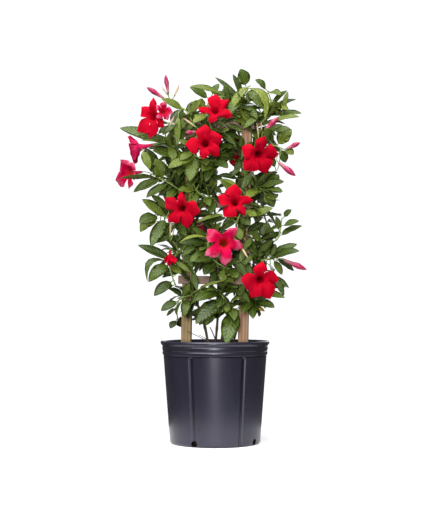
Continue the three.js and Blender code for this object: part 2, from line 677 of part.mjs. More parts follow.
const SHOOTS = {
  top_left: {
    vine: 'left', from: 735, route: [[193, 127, -28], [189, 113, -38], [180, 106, -44], [169, 97.5, -49]],
    leaves: [
      leaf([183, 112], [161, 97.5], -64, 20, -20),
      leaf([190, 112], [201, 99], -58, 24, 20),
      leaf([189, 114], [178, 131], -66, 26, 10),
      leaf([181, 107], [183, 124], -30, 22, 0),
    ],
    blooms: [],
    buds: ['top_left_side', 'top_left_tall'],
    spikes: [[[174, 95, -48], [179, 83, -50], 2.2], [[167, 93, -46], [161, 85, -44], 1.7]],
  },
  left_upper: {
    vine: 'left', from: 668, route: [[182, 158, -30], [170, 146, -44], [165, 134, -46], [170, 122, -44]],
    leaves: [
      leaf([166, 142], [119, 127], -34, 31, -18, 0.08),
      leaf([168, 146], [140.5, 139.5], -78, 13, 0),
      leaf([168, 144], [176, 163], -72, 24, 10),
      leaf([182, 158], [152, 150], -70, 36, -8),
      leaf([170, 124], [183, 108], -14, 26, 0),
    ],
    blooms: ['upper_left_red', 'upper_left_pink', 'side_pink_upper'],
    buds: [],
    spikes: [[[168, 128, -62], [174, 115, -64], 2.2]],
  },
  left_middle: {
    vine: 'left', from: 600, route: [[180, 190, -28], [168, 182, -42], [157, 177, -50]],
    leaves: [
      leaf([153, 180], [120, 177.5], -104, 22, 38, 0.08),
      leaf([160, 182], [133, 192], -62, 30, 0),
      leaf([165, 188], [146, 197.5], -74, 26, 0),
      leaf([158, 176], [145, 147], -30, 36, 0),
      leaf([163, 180], [155, 158], -72, 36, -16),
      leaf([170, 184], [177, 170], -74, 30, 0),
      leaf([176, 188], [167, 200], -76, 28, 0),
    ],
    blooms: ['side_pink_lower'],
    buds: [],
    spikes: [],
  },
  left_centre: {
    vine: 'left', from: 535, route: [[180, 222, -28], [168, 218, -40], [157, 214, -46]],
    leaves: [
      leaf([168, 214], [141.5, 199], -62, 28, -14),
      leaf([158, 212], [141, 217.5], -42, 16, 0),
      leaf([158, 218], [139, 223], -76, 36, 0),
      leaf([164, 222], [151, 247], -80, 34, 0),
      leaf([172, 220], [165, 236], -30, 30, 0),
      leaf([176, 220], [186, 236], -78, 28, 0),
    ],
    blooms: [],
    buds: [],
    spikes: [[[170, 238, -70], [171, 217, -84], 2.4]],
  },
  left_low: {
    vine: 'left', from: 455, route: [[180, 252, -28], [170, 262, -38], [172, 276, -40], [176, 286, -38]],
    leaves: [
      leaf([170, 258], [137.5, 245], -56, 24, -20),
      leaf([168, 262], [148.6, 282], -60, 32, -10, 0.34),
      leaf([172, 272], [150, 278], -40, 12, 0, 0.2),
      leaf([174, 280], [154, 296], -56, 28, -10, 0.2),
      leaf([170, 264], [181, 274], -66, 24, 0),
      leaf([176, 284], [166, 290], -20, 18, 0),
      leaf([176, 254], [188, 246], -64, 28, 0),
    ],
    blooms: ['hanging_red'],
    buds: [],
    spikes: [],
  },
  left_bottom: {
    vine: 'left', from: 338, route: [[192, 296, -30], [182, 297, -36], [177, 306, -34], [178, 320, -24]],
    leaves: [
      leaf([178, 300], [161, 311], -52, 22, -10, 0.18),
      leaf([178, 306], [166.6, 316], -30, 12, 0),
      leaf([178, 318], [170.5, 328.5], -40, 20, 10),
      leaf([188, 297], [184.5, 317], -62, 24, 0, 0.2),
      leaf([182, 298], [190, 284], -52, 24, 0),
      leaf([179, 318], [186, 328], 36, 22, 0),
    ],
    blooms: [],
    buds: [],
    spikes: [],
  },
  top_middle: {
    vine: 'middle', from: 775, route: [[234, 112, -22], [243, 98, -28], [247, 86, -32]],
    leaves: [
      leaf([247, 87], [240.5, 67], -46, 36, 0, 0.05),
      leaf([247, 88], [265, 109], -58, 30, 10, 0.26),
      leaf([243, 92], [228, 114], -72, 30, -10, 0.2),
      leaf([240, 96], [233, 72.5], -28, 16, 0),
      leaf([238, 98], [215, 75.6], -24, 16, 0),
      leaf([243, 97], [262, 90], -10, 28, 0),
      leaf([240, 104], [258, 118], -66, 30, 0, 0.2),
      leaf([238, 106], [222, 88], -40, 30, 0),
      leaf([234, 111], [248, 128], -60, 28, 0),
    ],
    blooms: [],
    buds: [],
    spikes: [],
  },
  top_front: {
    vine: 'middle', from: 722, route: [[213, 133, -38], [209, 120, -42], [207, 106, -38], [211, 95, -34]],
    leaves: [
      leaf([211, 96], [219, 82], -30, 18, 0),
      leaf([209, 98], [189.5, 85.5], -50, 24, -16),
      leaf([208, 108], [196, 100], -60, 30, 0),
      leaf([208, 112], [193, 122], -66, 30, 0),
      leaf([211, 95], [226, 93], -16, 26, 0),
      leaf([209, 118], [224, 128], -60, 26, 0),
    ],
    blooms: ['top_red'],
    buds: [],
    spikes: [],
  },
  front_upper: {
    vine: 'middle', from: 680, route: [[214, 160, -44], [202, 158, -52], [194, 154, -56], [192, 142, -58]],
    leaves: [
      leaf([192, 158], [189.5, 181.5], -98, 38, 0, 0.12),
      leaf([214, 160], [202, 171], -92, 34, -10),
      leaf([192, 150], [180, 160], -86, 28, 0),
      leaf([193, 146], [178, 140], -76, 24, 0),
      leaf([212, 160], [228, 168], -88, 30, 0),
      leaf([196, 156], [168, 168], -90, 34, 0),
    ],
    blooms: ['high_red'],
    buds: ['high_red'],
    spikes: [[[197, 127, -66], [183, 117, -72], 2.2]],
  },
  front_middle: {
    vine: 'middle', from: 592, route: [[213, 198, -40], [203, 196, -50], [196, 190, -56]],
    leaves: [
      leaf([209, 196], [218, 182], -84, 34, 0),
      leaf([200, 194], [203, 178], -88, 34, 0),
      leaf([197, 190], [193.5, 206], -96, 20, 0),
      leaf([212, 198], [211, 214], -76, 26, 0),
      leaf([204, 196], [210, 206], -90, 24, 0),
      leaf([196, 190], [178, 190], -76, 30, 0),
    ],
    blooms: ['left_red'],
    buds: [],
    spikes: [],
  },
  front_right: {
    vine: 'right', from: 590, route: [[244, 206, -36], [240, 214, -48], [236, 224, -54]],
    leaves: [
      leaf([243, 204], [219.5, 179.5], -116, 24, -20, 0.12),
      leaf([238, 216], [250, 225], -84, 28, 0),
      leaf([236, 222], [224, 214], -80, 26, 0),
      leaf([236, 224], [241, 240], -86, 26, 0),
      leaf([241, 210], [257, 216], -82, 30, 0),
    ],
    blooms: ['middle_red'],
    buds: [],
    spikes: [],
  },
  front_low: {
    vine: 'middle', from: 492, route: [[212, 240, -44], [206, 246, -54], [214, 260, -58], [226, 268, -58]],
    leaves: [
      leaf([206, 243], [179, 243], -82, 24, -16),
      leaf([209, 241], [192, 228], -86, 26, 0),
      leaf([212, 240], [222, 222], -74, 24, 0),
      leaf([208, 250], [190, 262], -84, 32, 0),
      leaf([214, 260], [195, 262], -100, 26, -10),
      leaf([216, 262], [204, 275], -88, 32, 0),
      leaf([222, 266], [240, 262], -96, 28, 0),
      leaf([226, 268], [238, 278], -88, 36, 0),
      leaf([224, 267], [222, 282], -70, 28, 0),
    ],
    blooms: ['middle_pink'],
    buds: [],
    spikes: [[[238, 242, -92], [248, 258, -100], 2.8]],
  },
  front_bottom: {
    vine: 'middle', from: 372, route: [[222, 290, -46], [220, 298, -54], [229, 304, -56], [235, 310, -54]],
    leaves: [
      leaf([222, 289], [195, 301], -92, 32, -10, 0.16),
      leaf([222, 300], [195.6, 324], -94, 42, 0, 0.16),
      leaf([221, 298], [205, 326], -66, 34, 0, 0.16),
      leaf([235, 311], [226, 345], -112, 44, 0, 0.14),
      leaf([222, 288], [238, 292], -80, 34, 0),
      leaf([228, 303], [240, 298], -92, 28, 0),
      leaf([230, 306], [215, 318], -30, 32, 0),
    ],
    blooms: [],
    buds: [],
    spikes: [],
  },
  top_right: {
    vine: 'right', from: 755, route: [[262, 122, -22], [270, 108, -28], [271, 98, -30], [268, 89, -32]],
    leaves: [
      leaf([268, 90], [255.4, 78], -26, 22, 0, 0.2),
      leaf([268, 90], [281.5, 94], -46, 22, 0, 0.18),
      leaf([270, 99], [278, 99], -40, 12, 0),
      leaf([270, 106], [288, 89], -36, 18, 0),
      leaf([270, 108], [297, 98], -24, 18, 0),
      leaf([266, 115], [302.6, 112.4], -50, 30, -12),
      leaf([270, 104], [289, 109], -60, 28, 0),
      leaf([264, 119], [272, 104], -66, 28, 0),
      leaf([262, 122], [249, 108], -60, 32, 0),
    ],
    blooms: [],
    buds: [],
    spikes: [],
  },
  right_upper: {
    vine: 'right', from: 700, route: [[260, 147, -30], [270, 145, -40], [279, 144, -46], [283, 148, -48]],
    leaves: [
      leaf([277, 144], [292, 128], -52, 40, 0, 0.05),
      leaf([273, 145], [268, 129], -70, 34, 0, 0.05),
      leaf([283, 148], [294, 154], -66, 24, 0),
      leaf([262, 146], [252, 132], -64, 26, 0),
      leaf([280, 145], [286, 162], -34, 26, 0),
    ],
    blooms: ['right_red'],
    buds: ['right_tall', 'right_short', 'right_low'],
    spikes: [[[259, 138, -56], [257, 121, -58], 1.5], [[262, 136, -44], [261.5, 120, -46], 1.4]],
  },
  right_middle: {
    vine: 'right', from: 622, route: [[256, 186, -30], [264, 190, -40], [272, 192, -44]],
    leaves: [
      leaf([258, 187], [284.7, 181.5], -56, 26, 0),
      leaf([262, 189], [283, 192], -80, 30, -10),
      leaf([270, 192], [274, 200], -62, 30, 0),
      leaf([262, 190], [274, 207], -36, 32, 0),
      leaf([258, 188], [250, 172], -70, 30, 0),
      leaf([258, 188], [247, 198], -74, 30, 0),
      leaf([266, 191], [279, 174], -26, 30, 0),
    ],
    blooms: [],
    buds: [],
    spikes: [],
  },
  right_spray: {
    vine: 'right', from: 500, route: [[260, 240, -28], [272, 243, -34], [279, 236, -36], [282, 218, -36]],
    leaves: [
      leaf([282, 219], [291.7, 209.3], -40, 17, 0),
      leaf([281.5, 226], [299.4, 221], -52, 20, 0),
      leaf([279, 236], [302.6, 225.7], -40, 26, -10),
      leaf([276, 240], [267, 225], -44, 13, 0),
      leaf([280, 232], [276, 216], -54, 16, 0),
      leaf([260, 240], [279.6, 227], -72, 34, 0, 0.12),
      leaf([262, 241], [268, 222], -56, 30, 0),
      leaf([264, 242], [249, 232], -56, 34, 0),
    ],
    blooms: [],
    buds: [],
    spikes: [],
  },
  right_low: {
    vine: 'right', from: 440, route: [[258, 262, -30], [267, 259, -40], [275, 257.5, -46]],
    leaves: [
      leaf([268, 258], [297.5, 244], -44, 26, 0, 0.12),
      leaf([270, 258], [299.8, 251], -66, 26, 0, 0.16),
      leaf([273, 259], [282, 275], -52, 18, 0),
      leaf([275, 258], [294, 271], -30, 24, 0),
      leaf([262, 260], [250, 250], -74, 32, 0),
      leaf([268, 259], [262, 270], -20, 30, 0),
    ],
    blooms: [],
    buds: ['low_right'],
    spikes: [],
  },
  right_bottom: {
    vine: 'right', from: 372, route: [[254, 292, -28], [250, 299, -38], [252, 306, -42]],
    leaves: [
      leaf([256, 290], [287, 287], -50, 28, -10),
      leaf([254, 292], [285, 298], -64, 26, 0),
      leaf([251, 303], [274.5, 308], -66, 34, -10),
      leaf([252, 306], [264.7, 311.5], -40, 12, 0),
      leaf([250, 300], [253, 319], -78, 30, 0),
      leaf([251, 298], [242, 314], -72, 28, 0),
    ],
    blooms: ['low_red'],
    buds: [],
    spikes: [],
  },
  back_top: {
    vine: 'middle', from: 750, route: [[222, 128, 36], [226, 114, 54], [236, 100, 60], [250, 92, 52]],
    twigs: [[[214, 116, 66], [202, 108, 64], [192, 104, 54]], [[240, 120, 72], [256, 124, 66]]],
    leaves: [], blooms: ['back_red'], buds: [], spikes: [],
  },
  back_left: {
    vine: 'left', from: 640, route: [[184, 168, 44], [178, 150, 60], [174, 130, 58]],
    twigs: [[[170, 176, 66], [160, 190, 62], [158, 206, 54]], [[190, 176, 74], [196, 196, 78]]],
    leaves: [], blooms: [], buds: [], spikes: [],
  },
  back_right: {
    vine: 'right', from: 560, route: [[254, 200, 44], [264, 184, 58], [270, 162, 56], [272, 142, 46]],
    twigs: [[[262, 210, 64], [268, 230, 60], [266, 250, 50]], [[240, 194, 74], [228, 184, 78]]],
    leaves: [], blooms: [], buds: [], spikes: [],
  },
  back_middle: {
    vine: 'middle', from: 470, route: [[216, 240, 40], [208, 226, 60], [206, 206, 66]],
    twigs: [
      [[206, 256, 66], [194, 270, 62], [186, 290, 52]],
      [[228, 260, 72], [244, 276, 70], [252, 294, 56]],
    ],
    leaves: [], blooms: ['back_pink'], buds: [], spikes: [],
  },
};

// Growth: stems first, then stalks, then leaves, each bent clear of what already stands there

const standing = [];

function stand(solid, owner) {
  standing.push({ solid, owner, box: solid.boundingBox() });
  return solid;
}

function apart(a, b) {
  return [0, 1, 2].some((i) => a.min[i] > b.max[i] || a.max[i] < b.min[i]);
}

function clear(solid, counts) {
  const box = solid.boundingBox();
  return standing.every((other) => (
    !counts(other.owner) || apart(box, other.box) || solid.intersect(other.solid).isEmpty()));
}

const SHIFTS = [0, -6, 6, -12, 12, -18, 18, -26, 26];
const CLEARANCE = 0.4;

// A stem's middle line, in straight lengths, from the place it grows from through its route.
function stemLine(start, route, shift) {
  const points = route.map(([column, row, depth]) => at([column, row, depth + shift]));
  const bends = evenly(new THREE.CatmullRomCurve3([start, ...points], false, 'catmullrom'), STEM.step);
  const line = new THREE.CurvePath();
  bends.slice(1).forEach((bend, i) => line.add(new THREE.LineCurve3(bends[i], bend)));
  return line;
}

function stemBody(line, radius, grow = 0, skipped = 0) {
  const points = [line.curves[0].v1, ...line.curves.map((length) => length.v2)];
  const radii = taper(radius + grow, STEM.tipRadius + grow, points.length);
  return sweep(points.slice(skipped), radii.slice(skipped), STEM.sides);
}

// The point of a shoot's stems that is seen nearest to a place in the picture.
function nearest(curves, [column, row]) {
  const spots = curves.flatMap((curve) => curve.getSpacedPoints(60).slice(8));
  const distance = (point) => {
    const [x, y] = seen(point);
    return Math.hypot(x - column, y - row);
  };
  return spots.reduce((best, point) => (distance(point) < distance(best) ? point : best));
}

const STARTS = [0, 10, -10, 20, -20, 30, -30];

function growStems(name, shoot) {
  const vine = `vine_${shoot.vine}`;
  const curves = [];
  const bodies = [];
  const grow = (starts, route, radius) => {
    const options = starts.flatMap((from) => SHIFTS.map((shift) => stemLine(from, route, shift)));
    const curve = options.find((one) => (
      clear(stemBody(one, radius, CLEARANCE), (owner) => owner !== vine && owner !== name)
        && clear(stemBody(one, radius, CLEARANCE, 1), (owner) => owner === vine)));
    if (curve) {
      curves.push(curve);
      bodies.push(stand(stemBody(curve, radius), name));
    }
  };
  grow(STARTS.map((rise) => vinePoint(shoot.vine, shoot.from + rise)), shoot.route, STEM.radius);
  for (const twig of shoot.twigs ?? []) {
    grow([nearest(curves.slice(0, 1), twig[0])], twig, STEM.radius * 0.8);
  }
  return { curves, bodies };
}

// A flower's or bud's stalk, with the green calyx at its end.
function stalkPoints(start, end, along, bulge) {
  const run = start.distanceTo(end);
  const handle = end.clone().addScaledVector(along, -Math.min(PEDICEL.bend * run, PEDICEL.longestBend));
  handle.add(bulge);
  const curve = new THREE.QuadraticBezierCurve3(start, handle, end);
  const points = curve.getPoints(PEDICEL.steps);
  points.splice(-1, 0, end.clone().addScaledVector(along, -PEDICEL.calyxLength));
  return points;
}

function stalkBody(points, grow = 0) {
  const radii = points.map((_, i) => (i === points.length - 1 ? PEDICEL.calyx : PEDICEL.radius) + grow);
  return sweep(points, radii, PEDICEL.sides);
}

const BULGES = [[0, 0, 0], [0, 0, -14], [0, 0, 14], [0, -14, 0], [-14, 0, 0], [14, 0, 0], [0, 14, 0],
  [0, -16, -22], [0, -16, 22], [-22, 0, -16], [22, 0, -16], [0, 24, 10], [-24, -10, 14], [24, -10, 14]];

function growStalk(name, curves, target, along, owner) {
  const start = nearest(curves, seen(target));
  const end = target.clone().addScaledVector(along, -GAP);
  const route = BULGES
    .map((bulge) => stalkPoints(start, end, along, new THREE.Vector3(...bulge)))
    .find((points) => clear(stalkBody(points, CLEARANCE), (other) => other !== name && other !== owner)
      && (owner === name || clear(stalkBody(points), (other) => other === owner)));
  return route ? [stand(stalkBody(route), name)] : [];
}

function leafFrom(root, row, change) {
  return {
    root,
    tip: at([...row.tip, row.depth + change.shift]),
    width: row.width * change.size,
    roll: row.roll + change.roll,
    arch: row.arch + change.arch,
    up: row.depth > 20 ? new THREE.Vector3(0, 0.6, 0.8) : TO_EYE,
  };
}

function fits(leafShape, name) {
  return clear(leafBody(leafShape, CLEARANCE), (owner) => owner !== name)
    && clear(bladeBody(leafShape, CLEARANCE), (owner) => owner === name);
}

const LEAF_CHANGES = [];
for (const size of [1, 0.84, 0.7]) {
  for (const roll of [0, 24, -24, 48, -48]) {
    for (const arch of [0, 0.1, -0.06]) {
      for (const shift of SHIFTS) {
        LEAF_CHANGES.push({ size, roll, arch, shift });
      }
    }
  }
}

function growLeaf(name, curves, row) {
  const root = nearest(curves, row.base);
  const change = LEAF_CHANGES.find((one) => fits(leafFrom(root, row, one), name));
  return change ? stand(leafBody(leafFrom(root, row, change)), name) : null;
}

// Leaves that the picture doesn't single out fill the rest, in opposite pairs, inside the plant's outline.

const OUTLINE = [
  { row: 80, left: 236, right: 250 },
  { row: 95, left: 200, right: 284 },
  { row: 112, left: 172, right: 290 },
  { row: 130, left: 150, right: 288 },
  { row: 160, left: 146, right: 286 },
  { row: 190, left: 147, right: 282 },
  { row: 225, left: 145, right: 284 },
  { row: 250, left: 150, right: 284 },
  { row: 285, left: 160, right: 280 },
  { row: 310, left: 172, right: 268 },
  { row: 326, left: 184, right: 250 },
];
const WINDOWS = [[217, 211.5, 6], [221, 169, 4], [203, 276.5, 6], [208, 308, 6], [268, 209, 4],
  [228, 330, 8]];
const BARE_WOOD = [[238, 125, 6], [219, 121.5, 4], [248, 138, 4], [205, 279.5, 5], [184, 284, 5],
  [186, 330, 8], [243, 328, 9], [206, 210, 4]];
const FILL = {
  total: 214,
  frontRounds: 1,
  rounds: 14,
  first: 14,
  spacing: 14,
  attempts: 12,
  length: { shortest: 62, longest: 92, less: 0.96 },
  slimness: 0.4,
  deepest: 122,
  nearest: -112,
  turn: { spread: 50, more: 26 },
  lean: { outward: 0.55, forward: 0.3, up: 0.25, droop: 0.7 },
};

function inOutline([column, row]) {
  const last = OUTLINE.findIndex((line) => line.row > row);
  if (last < 1) {
    return false;
  }
  const [a, b] = [OUTLINE[last - 1], OUTLINE[last]];
  const share = (row - a.row) / (b.row - a.row);
  return column > THREE.MathUtils.lerp(a.left, b.left, share)
    && column < THREE.MathUtils.lerp(a.right, b.right, share);
}

function hides(point) {
  const [column, row] = seen(point);
  const over = ([x, y, reach]) => Math.hypot(column - x, row - y) < reach;
  const blooms = Object.values(BLOOMS).filter((bloom) => bloom.mouth[2] < 0);
  return WINDOWS.some(over)
    || (point.y < 0 && BARE_WOOD.some(over))
    || blooms.some(({ mouth, across }) => point.y < mouth[2] + 24
      && over([mouth[0], mouth[1], across / PICTURE.scale * 0.48]));
}

function fillLeaf(curve, place, keys, attempt) {
  const root = curve.getPointAt(place);
  const tangent = curve.getTangentAt(place);
  const out = root.clone().sub(new THREE.Vector3(0, TRELLIS.y, root.z)).normalize();
  const { turn: { spread, more }, lean, length: { shortest, longest, less } } = FILL;
  const turn = 90 * keys[1] + 180 * keys[2] + (draw(...keys, attempt, 1) - 0.5) * (spread + more * attempt);
  const side = out.clone().cross(tangent).normalize().applyAxisAngle(tangent, radians(turn));
  const length = THREE.MathUtils.lerp(shortest, longest, draw(...keys, attempt, 2)) * less ** attempt;
  const along = side.addScaledVector(out, lean.outward).addScaledVector(tangent, lean.forward)
    .addScaledVector(UP, lean.up - lean.droop * draw(...keys, attempt, 3)).normalize();
  return {
    root,
    tip: root.clone().addScaledVector(along, length),
    width: length * (FILL.slimness + 0.06 * (draw(...keys, attempt, 4) - 0.5)),
    roll: 40 * (draw(...keys, attempt, 5) - 0.5),
    arch: 0.08 + 0.12 * draw(...keys, attempt, 6),
    up: out.multiplyScalar(0.5).addScaledVector(UP, 0.85),
    rings: 'plain',
  };
}

function growFill(name, curves, round, shootNumber) {
  const grown = [];
  curves.forEach((curve, stem) => {
    const place = FILL.first + round * FILL.spacing;
    if (place > curve.getLength() - 1) {
      return;
    }
    for (const mate of [0, 1]) {
      const keys = [shootNumber * 7 + stem, round, mate];
      for (let attempt = 0; attempt < FILL.attempts; attempt += 1) {
        const shape = fillLeaf(curve, place / curve.getLength(), keys, attempt);
        const middle = shape.root.clone().lerp(shape.tip, 0.55);
        const kept = inOutline(seen(shape.tip)) && !hides(shape.tip) && !hides(middle)
          && shape.tip.y < FILL.deepest && shape.tip.y > FILL.nearest;
        if (kept && fits(shape, name)) {
          grown.push(stand(leafBody(shape), name));
          break;
        }
      }
    }
  });
  return grown;
}

// Assembly

const COLOURS = {
  pot: ['#403f4a', 0.42, 0],
  soil: ['#3a2a20', 1, 0],
  wood: ['#a5876a', 0.8, 0],
  steel: ['#77736c', 0.45, 0.9],
  bark: ['#43362a', 0.85, 0],
  green: ['#5a7a38', 0.5, 0],
  red: ['#d80d30', 0.5, 0],
  pink: ['#f0407a', 0.5, 0],
  bud: ['#dd3f72', 0.5, 0],
};

function named(name, geometry, finish) {
  const [color, roughness, metalness] = COLOURS[finish];
  const mesh = new THREE.Mesh(geometry, new THREE.MeshStandardMaterial({ color, roughness, metalness }));
  mesh.name = name;
  return mesh;
}

const plant = new THREE.Group();

function keep(name, solid, finish) {
  plant.add(named(name, geometryOf(solid), finish));
  return stand(solid, name);
}

keep('pot', pot(), 'pot');
keep('soil', soil(), 'soil');

let nailNumber = 1;
const nails = [];
for (const level of Object.values(RUNG.levels)) {
  for (const side of [-1, 1]) {
    trellis.add(named(`nail_${nailNumber}`, nailBody(side, level), 'steel'));
    nails.push(solidOf(nailBody(side, level, GAP)));
    nailNumber += 1;
  }
}
const drilled = (body) => nails.reduce((left, nail) => left.subtract(nail), solidOf(body));
for (const [side, label] of [[-1, 'left'], [1, 'right']]) {
  trellis.add(named(`trellis_post_${label}`, geometryOf(drilled(postBody(side))), 'wood'));
}
for (const [label, level] of Object.entries(RUNG.levels)) {
  trellis.add(named(`rung_${label}`, geometryOf(drilled(rungBody(level))), 'wood'));
}
plant.add(trellis);
for (const mesh of trellis.children) {
  stand(solidOf(mesh.geometry.clone().applyMatrix4(trellis.matrixWorld)), mesh.name);
}

for (const [name, body] of Object.entries(vines)) {
  keep(`vine_${name}`, body, 'bark');
}
for (const [name, bloom] of Object.entries(BLOOMS)) {
  keep(`bloom_${name}`, bloomBody(bloom), bloom.tint);
}
for (const [name, bud] of Object.entries(BUDS)) {
  keep(`bud_${name}`, spindle(...budEnds(bud), bud.radius, 6), 'bud');
}

const shoots = Object.entries(SHOOTS).map(([label, row]) => ({ name: `shoot_${label}`, row }));
for (const shoot of shoots) {
  Object.assign(shoot, growStems(shoot.name, shoot.row));
}
for (const { name, row, curves, bodies } of shoots) {
  for (const label of row.blooms) {
    const bloom = BLOOMS[label];
    const root = bloomFrame(bloom)(0, 0, -tubeLength(bloom));
    bodies.push(...growStalk(name, curves, root, facing(bloom), `bloom_${label}`));
  }
  for (const label of row.buds) {
    const [base, tip] = budEnds(BUDS[label]);
    const along = tip.clone().sub(base).normalize();
    bodies.push(...growStalk(name, curves, base, along, `bud_${label}`));
  }
  for (const [base, tip, radius] of row.spikes) {
    const [from, to] = [at(base), at(tip)];
    const along = to.clone().sub(from).normalize();
    const spike = spindle(from.clone().addScaledVector(along, -1.5), to, radius, 4);
    bodies.push(...growStalk(name, curves, from, along, name));
    bodies.push(stand(spike, name));
  }
}
let leafCount = 0;
for (const { name, row, curves, bodies } of shoots) {
  const grown = row.leaves.map((one) => growLeaf(name, curves, one)).filter(Boolean);
  leafCount += grown.length;
  bodies.push(...grown);
}
for (let round = 0; round < FILL.rounds; round += 1) {
  shoots.forEach(({ name, row, curves, bodies }, number) => {
    const faces = row.leaves.length ? FILL.frontRounds : FILL.rounds;
    if (leafCount < FILL.total && round < faces) {
      const grown = growFill(name, curves, round, number);
      leafCount += grown.length;
      bodies.push(...grown);
    }
  });
}

// Each shoot is one body, cut away round the vine that it grows from; loose scraps are dropped.
for (const { name, row, bodies } of shoots) {
  const whole = joined(bodies).subtract(vineTube(row.vine, GAP));
  const [shoot] = whole.decompose().sort((a, b) => b.volume() - a.volume());
  plant.add(named(name, geometryOf(shoot), 'green'));
}

export default plant;
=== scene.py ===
"""A potted mandevilla on a ladder trellis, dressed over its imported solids.

Everything is in metres, in the frame of the solids: +Z is up and -Y is the front. Each sub-assembly is a class
that holds its sizes and builds its own pieces; each finish is a small class that makes one procedural material.
"""

import logging
from collections.abc import Callable, Iterable, Sequence
from dataclasses import dataclass, field
from enum import Enum
from functools import partial, reduce
from math import atan2, cos, degrees, dist, exp, floor, hypot, inf, pi, radians, sin
from random import Random

import bmesh
import bpy
import numpy as np
from bpy.types import Material, Node, NodeSocket as Socket, NodeTree, Object, Scene
from mathutils import Matrix, Quaternion, Vector, noise
from mathutils.kdtree import KDTree


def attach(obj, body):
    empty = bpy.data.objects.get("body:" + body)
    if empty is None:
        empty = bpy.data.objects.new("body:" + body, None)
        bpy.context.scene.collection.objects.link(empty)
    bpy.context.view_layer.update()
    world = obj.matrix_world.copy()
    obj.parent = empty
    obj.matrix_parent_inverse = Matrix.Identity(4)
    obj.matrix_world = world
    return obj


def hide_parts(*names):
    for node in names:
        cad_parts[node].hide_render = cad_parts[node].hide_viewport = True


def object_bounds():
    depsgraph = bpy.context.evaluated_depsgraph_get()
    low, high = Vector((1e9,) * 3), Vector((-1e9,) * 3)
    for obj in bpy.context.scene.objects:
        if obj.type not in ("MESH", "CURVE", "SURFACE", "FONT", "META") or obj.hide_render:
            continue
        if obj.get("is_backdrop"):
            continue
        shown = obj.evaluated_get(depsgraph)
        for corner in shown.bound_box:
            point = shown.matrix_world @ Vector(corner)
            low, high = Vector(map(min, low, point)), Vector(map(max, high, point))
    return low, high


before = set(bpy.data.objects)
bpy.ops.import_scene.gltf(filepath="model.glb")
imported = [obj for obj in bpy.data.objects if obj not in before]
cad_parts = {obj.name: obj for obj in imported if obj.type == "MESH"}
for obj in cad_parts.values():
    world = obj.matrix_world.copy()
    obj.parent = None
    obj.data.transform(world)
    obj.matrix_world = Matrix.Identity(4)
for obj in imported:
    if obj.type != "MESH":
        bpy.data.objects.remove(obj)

log = logging.getLogger("mandevilla")

CAD_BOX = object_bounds()
MM = 0.001
UP = Vector((0, 0, 1))
SEED, SPREAD = 20240611, 7919

Value = float | int | Sequence[float] | Socket
Pair = tuple[float, float]
Triple = tuple[float, float, float]


class Tint(Enum):
    """The two colours of the plant's flowers."""

    RED = "red"
    PINK = "pink"


# Picture and camera


@dataclass(frozen=True)
class Picture:
    """The reference picture: where the eye stands and how its pixels lie on the plane of the pot's axis."""

    width: int = 425
    height: int = 515
    column: float = 212.9
    horizon: float = 306.0
    scale: float = 2.418 * MM
    eye: Triple = (-0.005, -2.63, 0.328)
    sensor: float = 36.0

    def at(self, column: float, row: float, depth: float) -> Vector:
        """Find the point seen at a pixel.

        Args:
            column: The pixel's column.
            row: The pixel's row.
            depth: Millimetres behind (+) or before (-) the pot's axis.

        Returns:
            The point, in metres.
        """
        x, y, z = self.eye
        scale = self.scale * (depth * MM - y) / -y
        return Vector((x + (column - self.column) * scale, depth * MM, z + (self.horizon - row) * scale))

    def seen(self, point: Vector) -> Pair:
        """Find the pixel at which a point is seen.

        Args:
            point: A point, in metres.

        Returns:
            Its column and row.
        """
        x, y, z = self.eye
        scale = self.scale * (point.y - y) / -y
        return self.column + (point.x - x) / scale, self.horizon - (point.z - z) / scale

    def make_camera(self) -> Object:
        """Place the camera at the eye, tilted so that the horizon lies on its row.

        Returns:
            The camera.
        """
        data = bpy.data.cameras.new("picture_camera")
        data.sensor_width = self.sensor
        data.lens = self.sensor * -self.eye[1] / (self.scale * self.height)
        data.clip_end = 60
        camera = place_object("picture_camera", data)
        camera.location = self.eye
        tilt = atan2((self.horizon - self.height / 2) * self.scale, -self.eye[1])
        turn = atan2((self.column - self.width / 2) * self.scale, -self.eye[1])
        camera.rotation_euler = (pi / 2 + tilt, 0, turn)
        bpy.context.scene.camera = camera
        return camera


PICTURE = Picture()


def draw(*keys: int) -> float:
    """Draw a repeatable number between 0 and 1, named by whole numbers."""
    return Random(sum((key + 11) * SPREAD**i for i, key in enumerate(keys)) + SEED).random()


def smooth(low: float, high: float, value: float) -> float:
    """Ease from 0 to 1 as a value goes from low to high."""
    share = min(max((value - low) / (high - low), 0.0), 1.0)
    return share * share * (3 - 2 * share)


def mix(a: float, b: float, share: float) -> float:
    """Blend two numbers."""
    return a + (b - a) * share


# Node graphs and materials


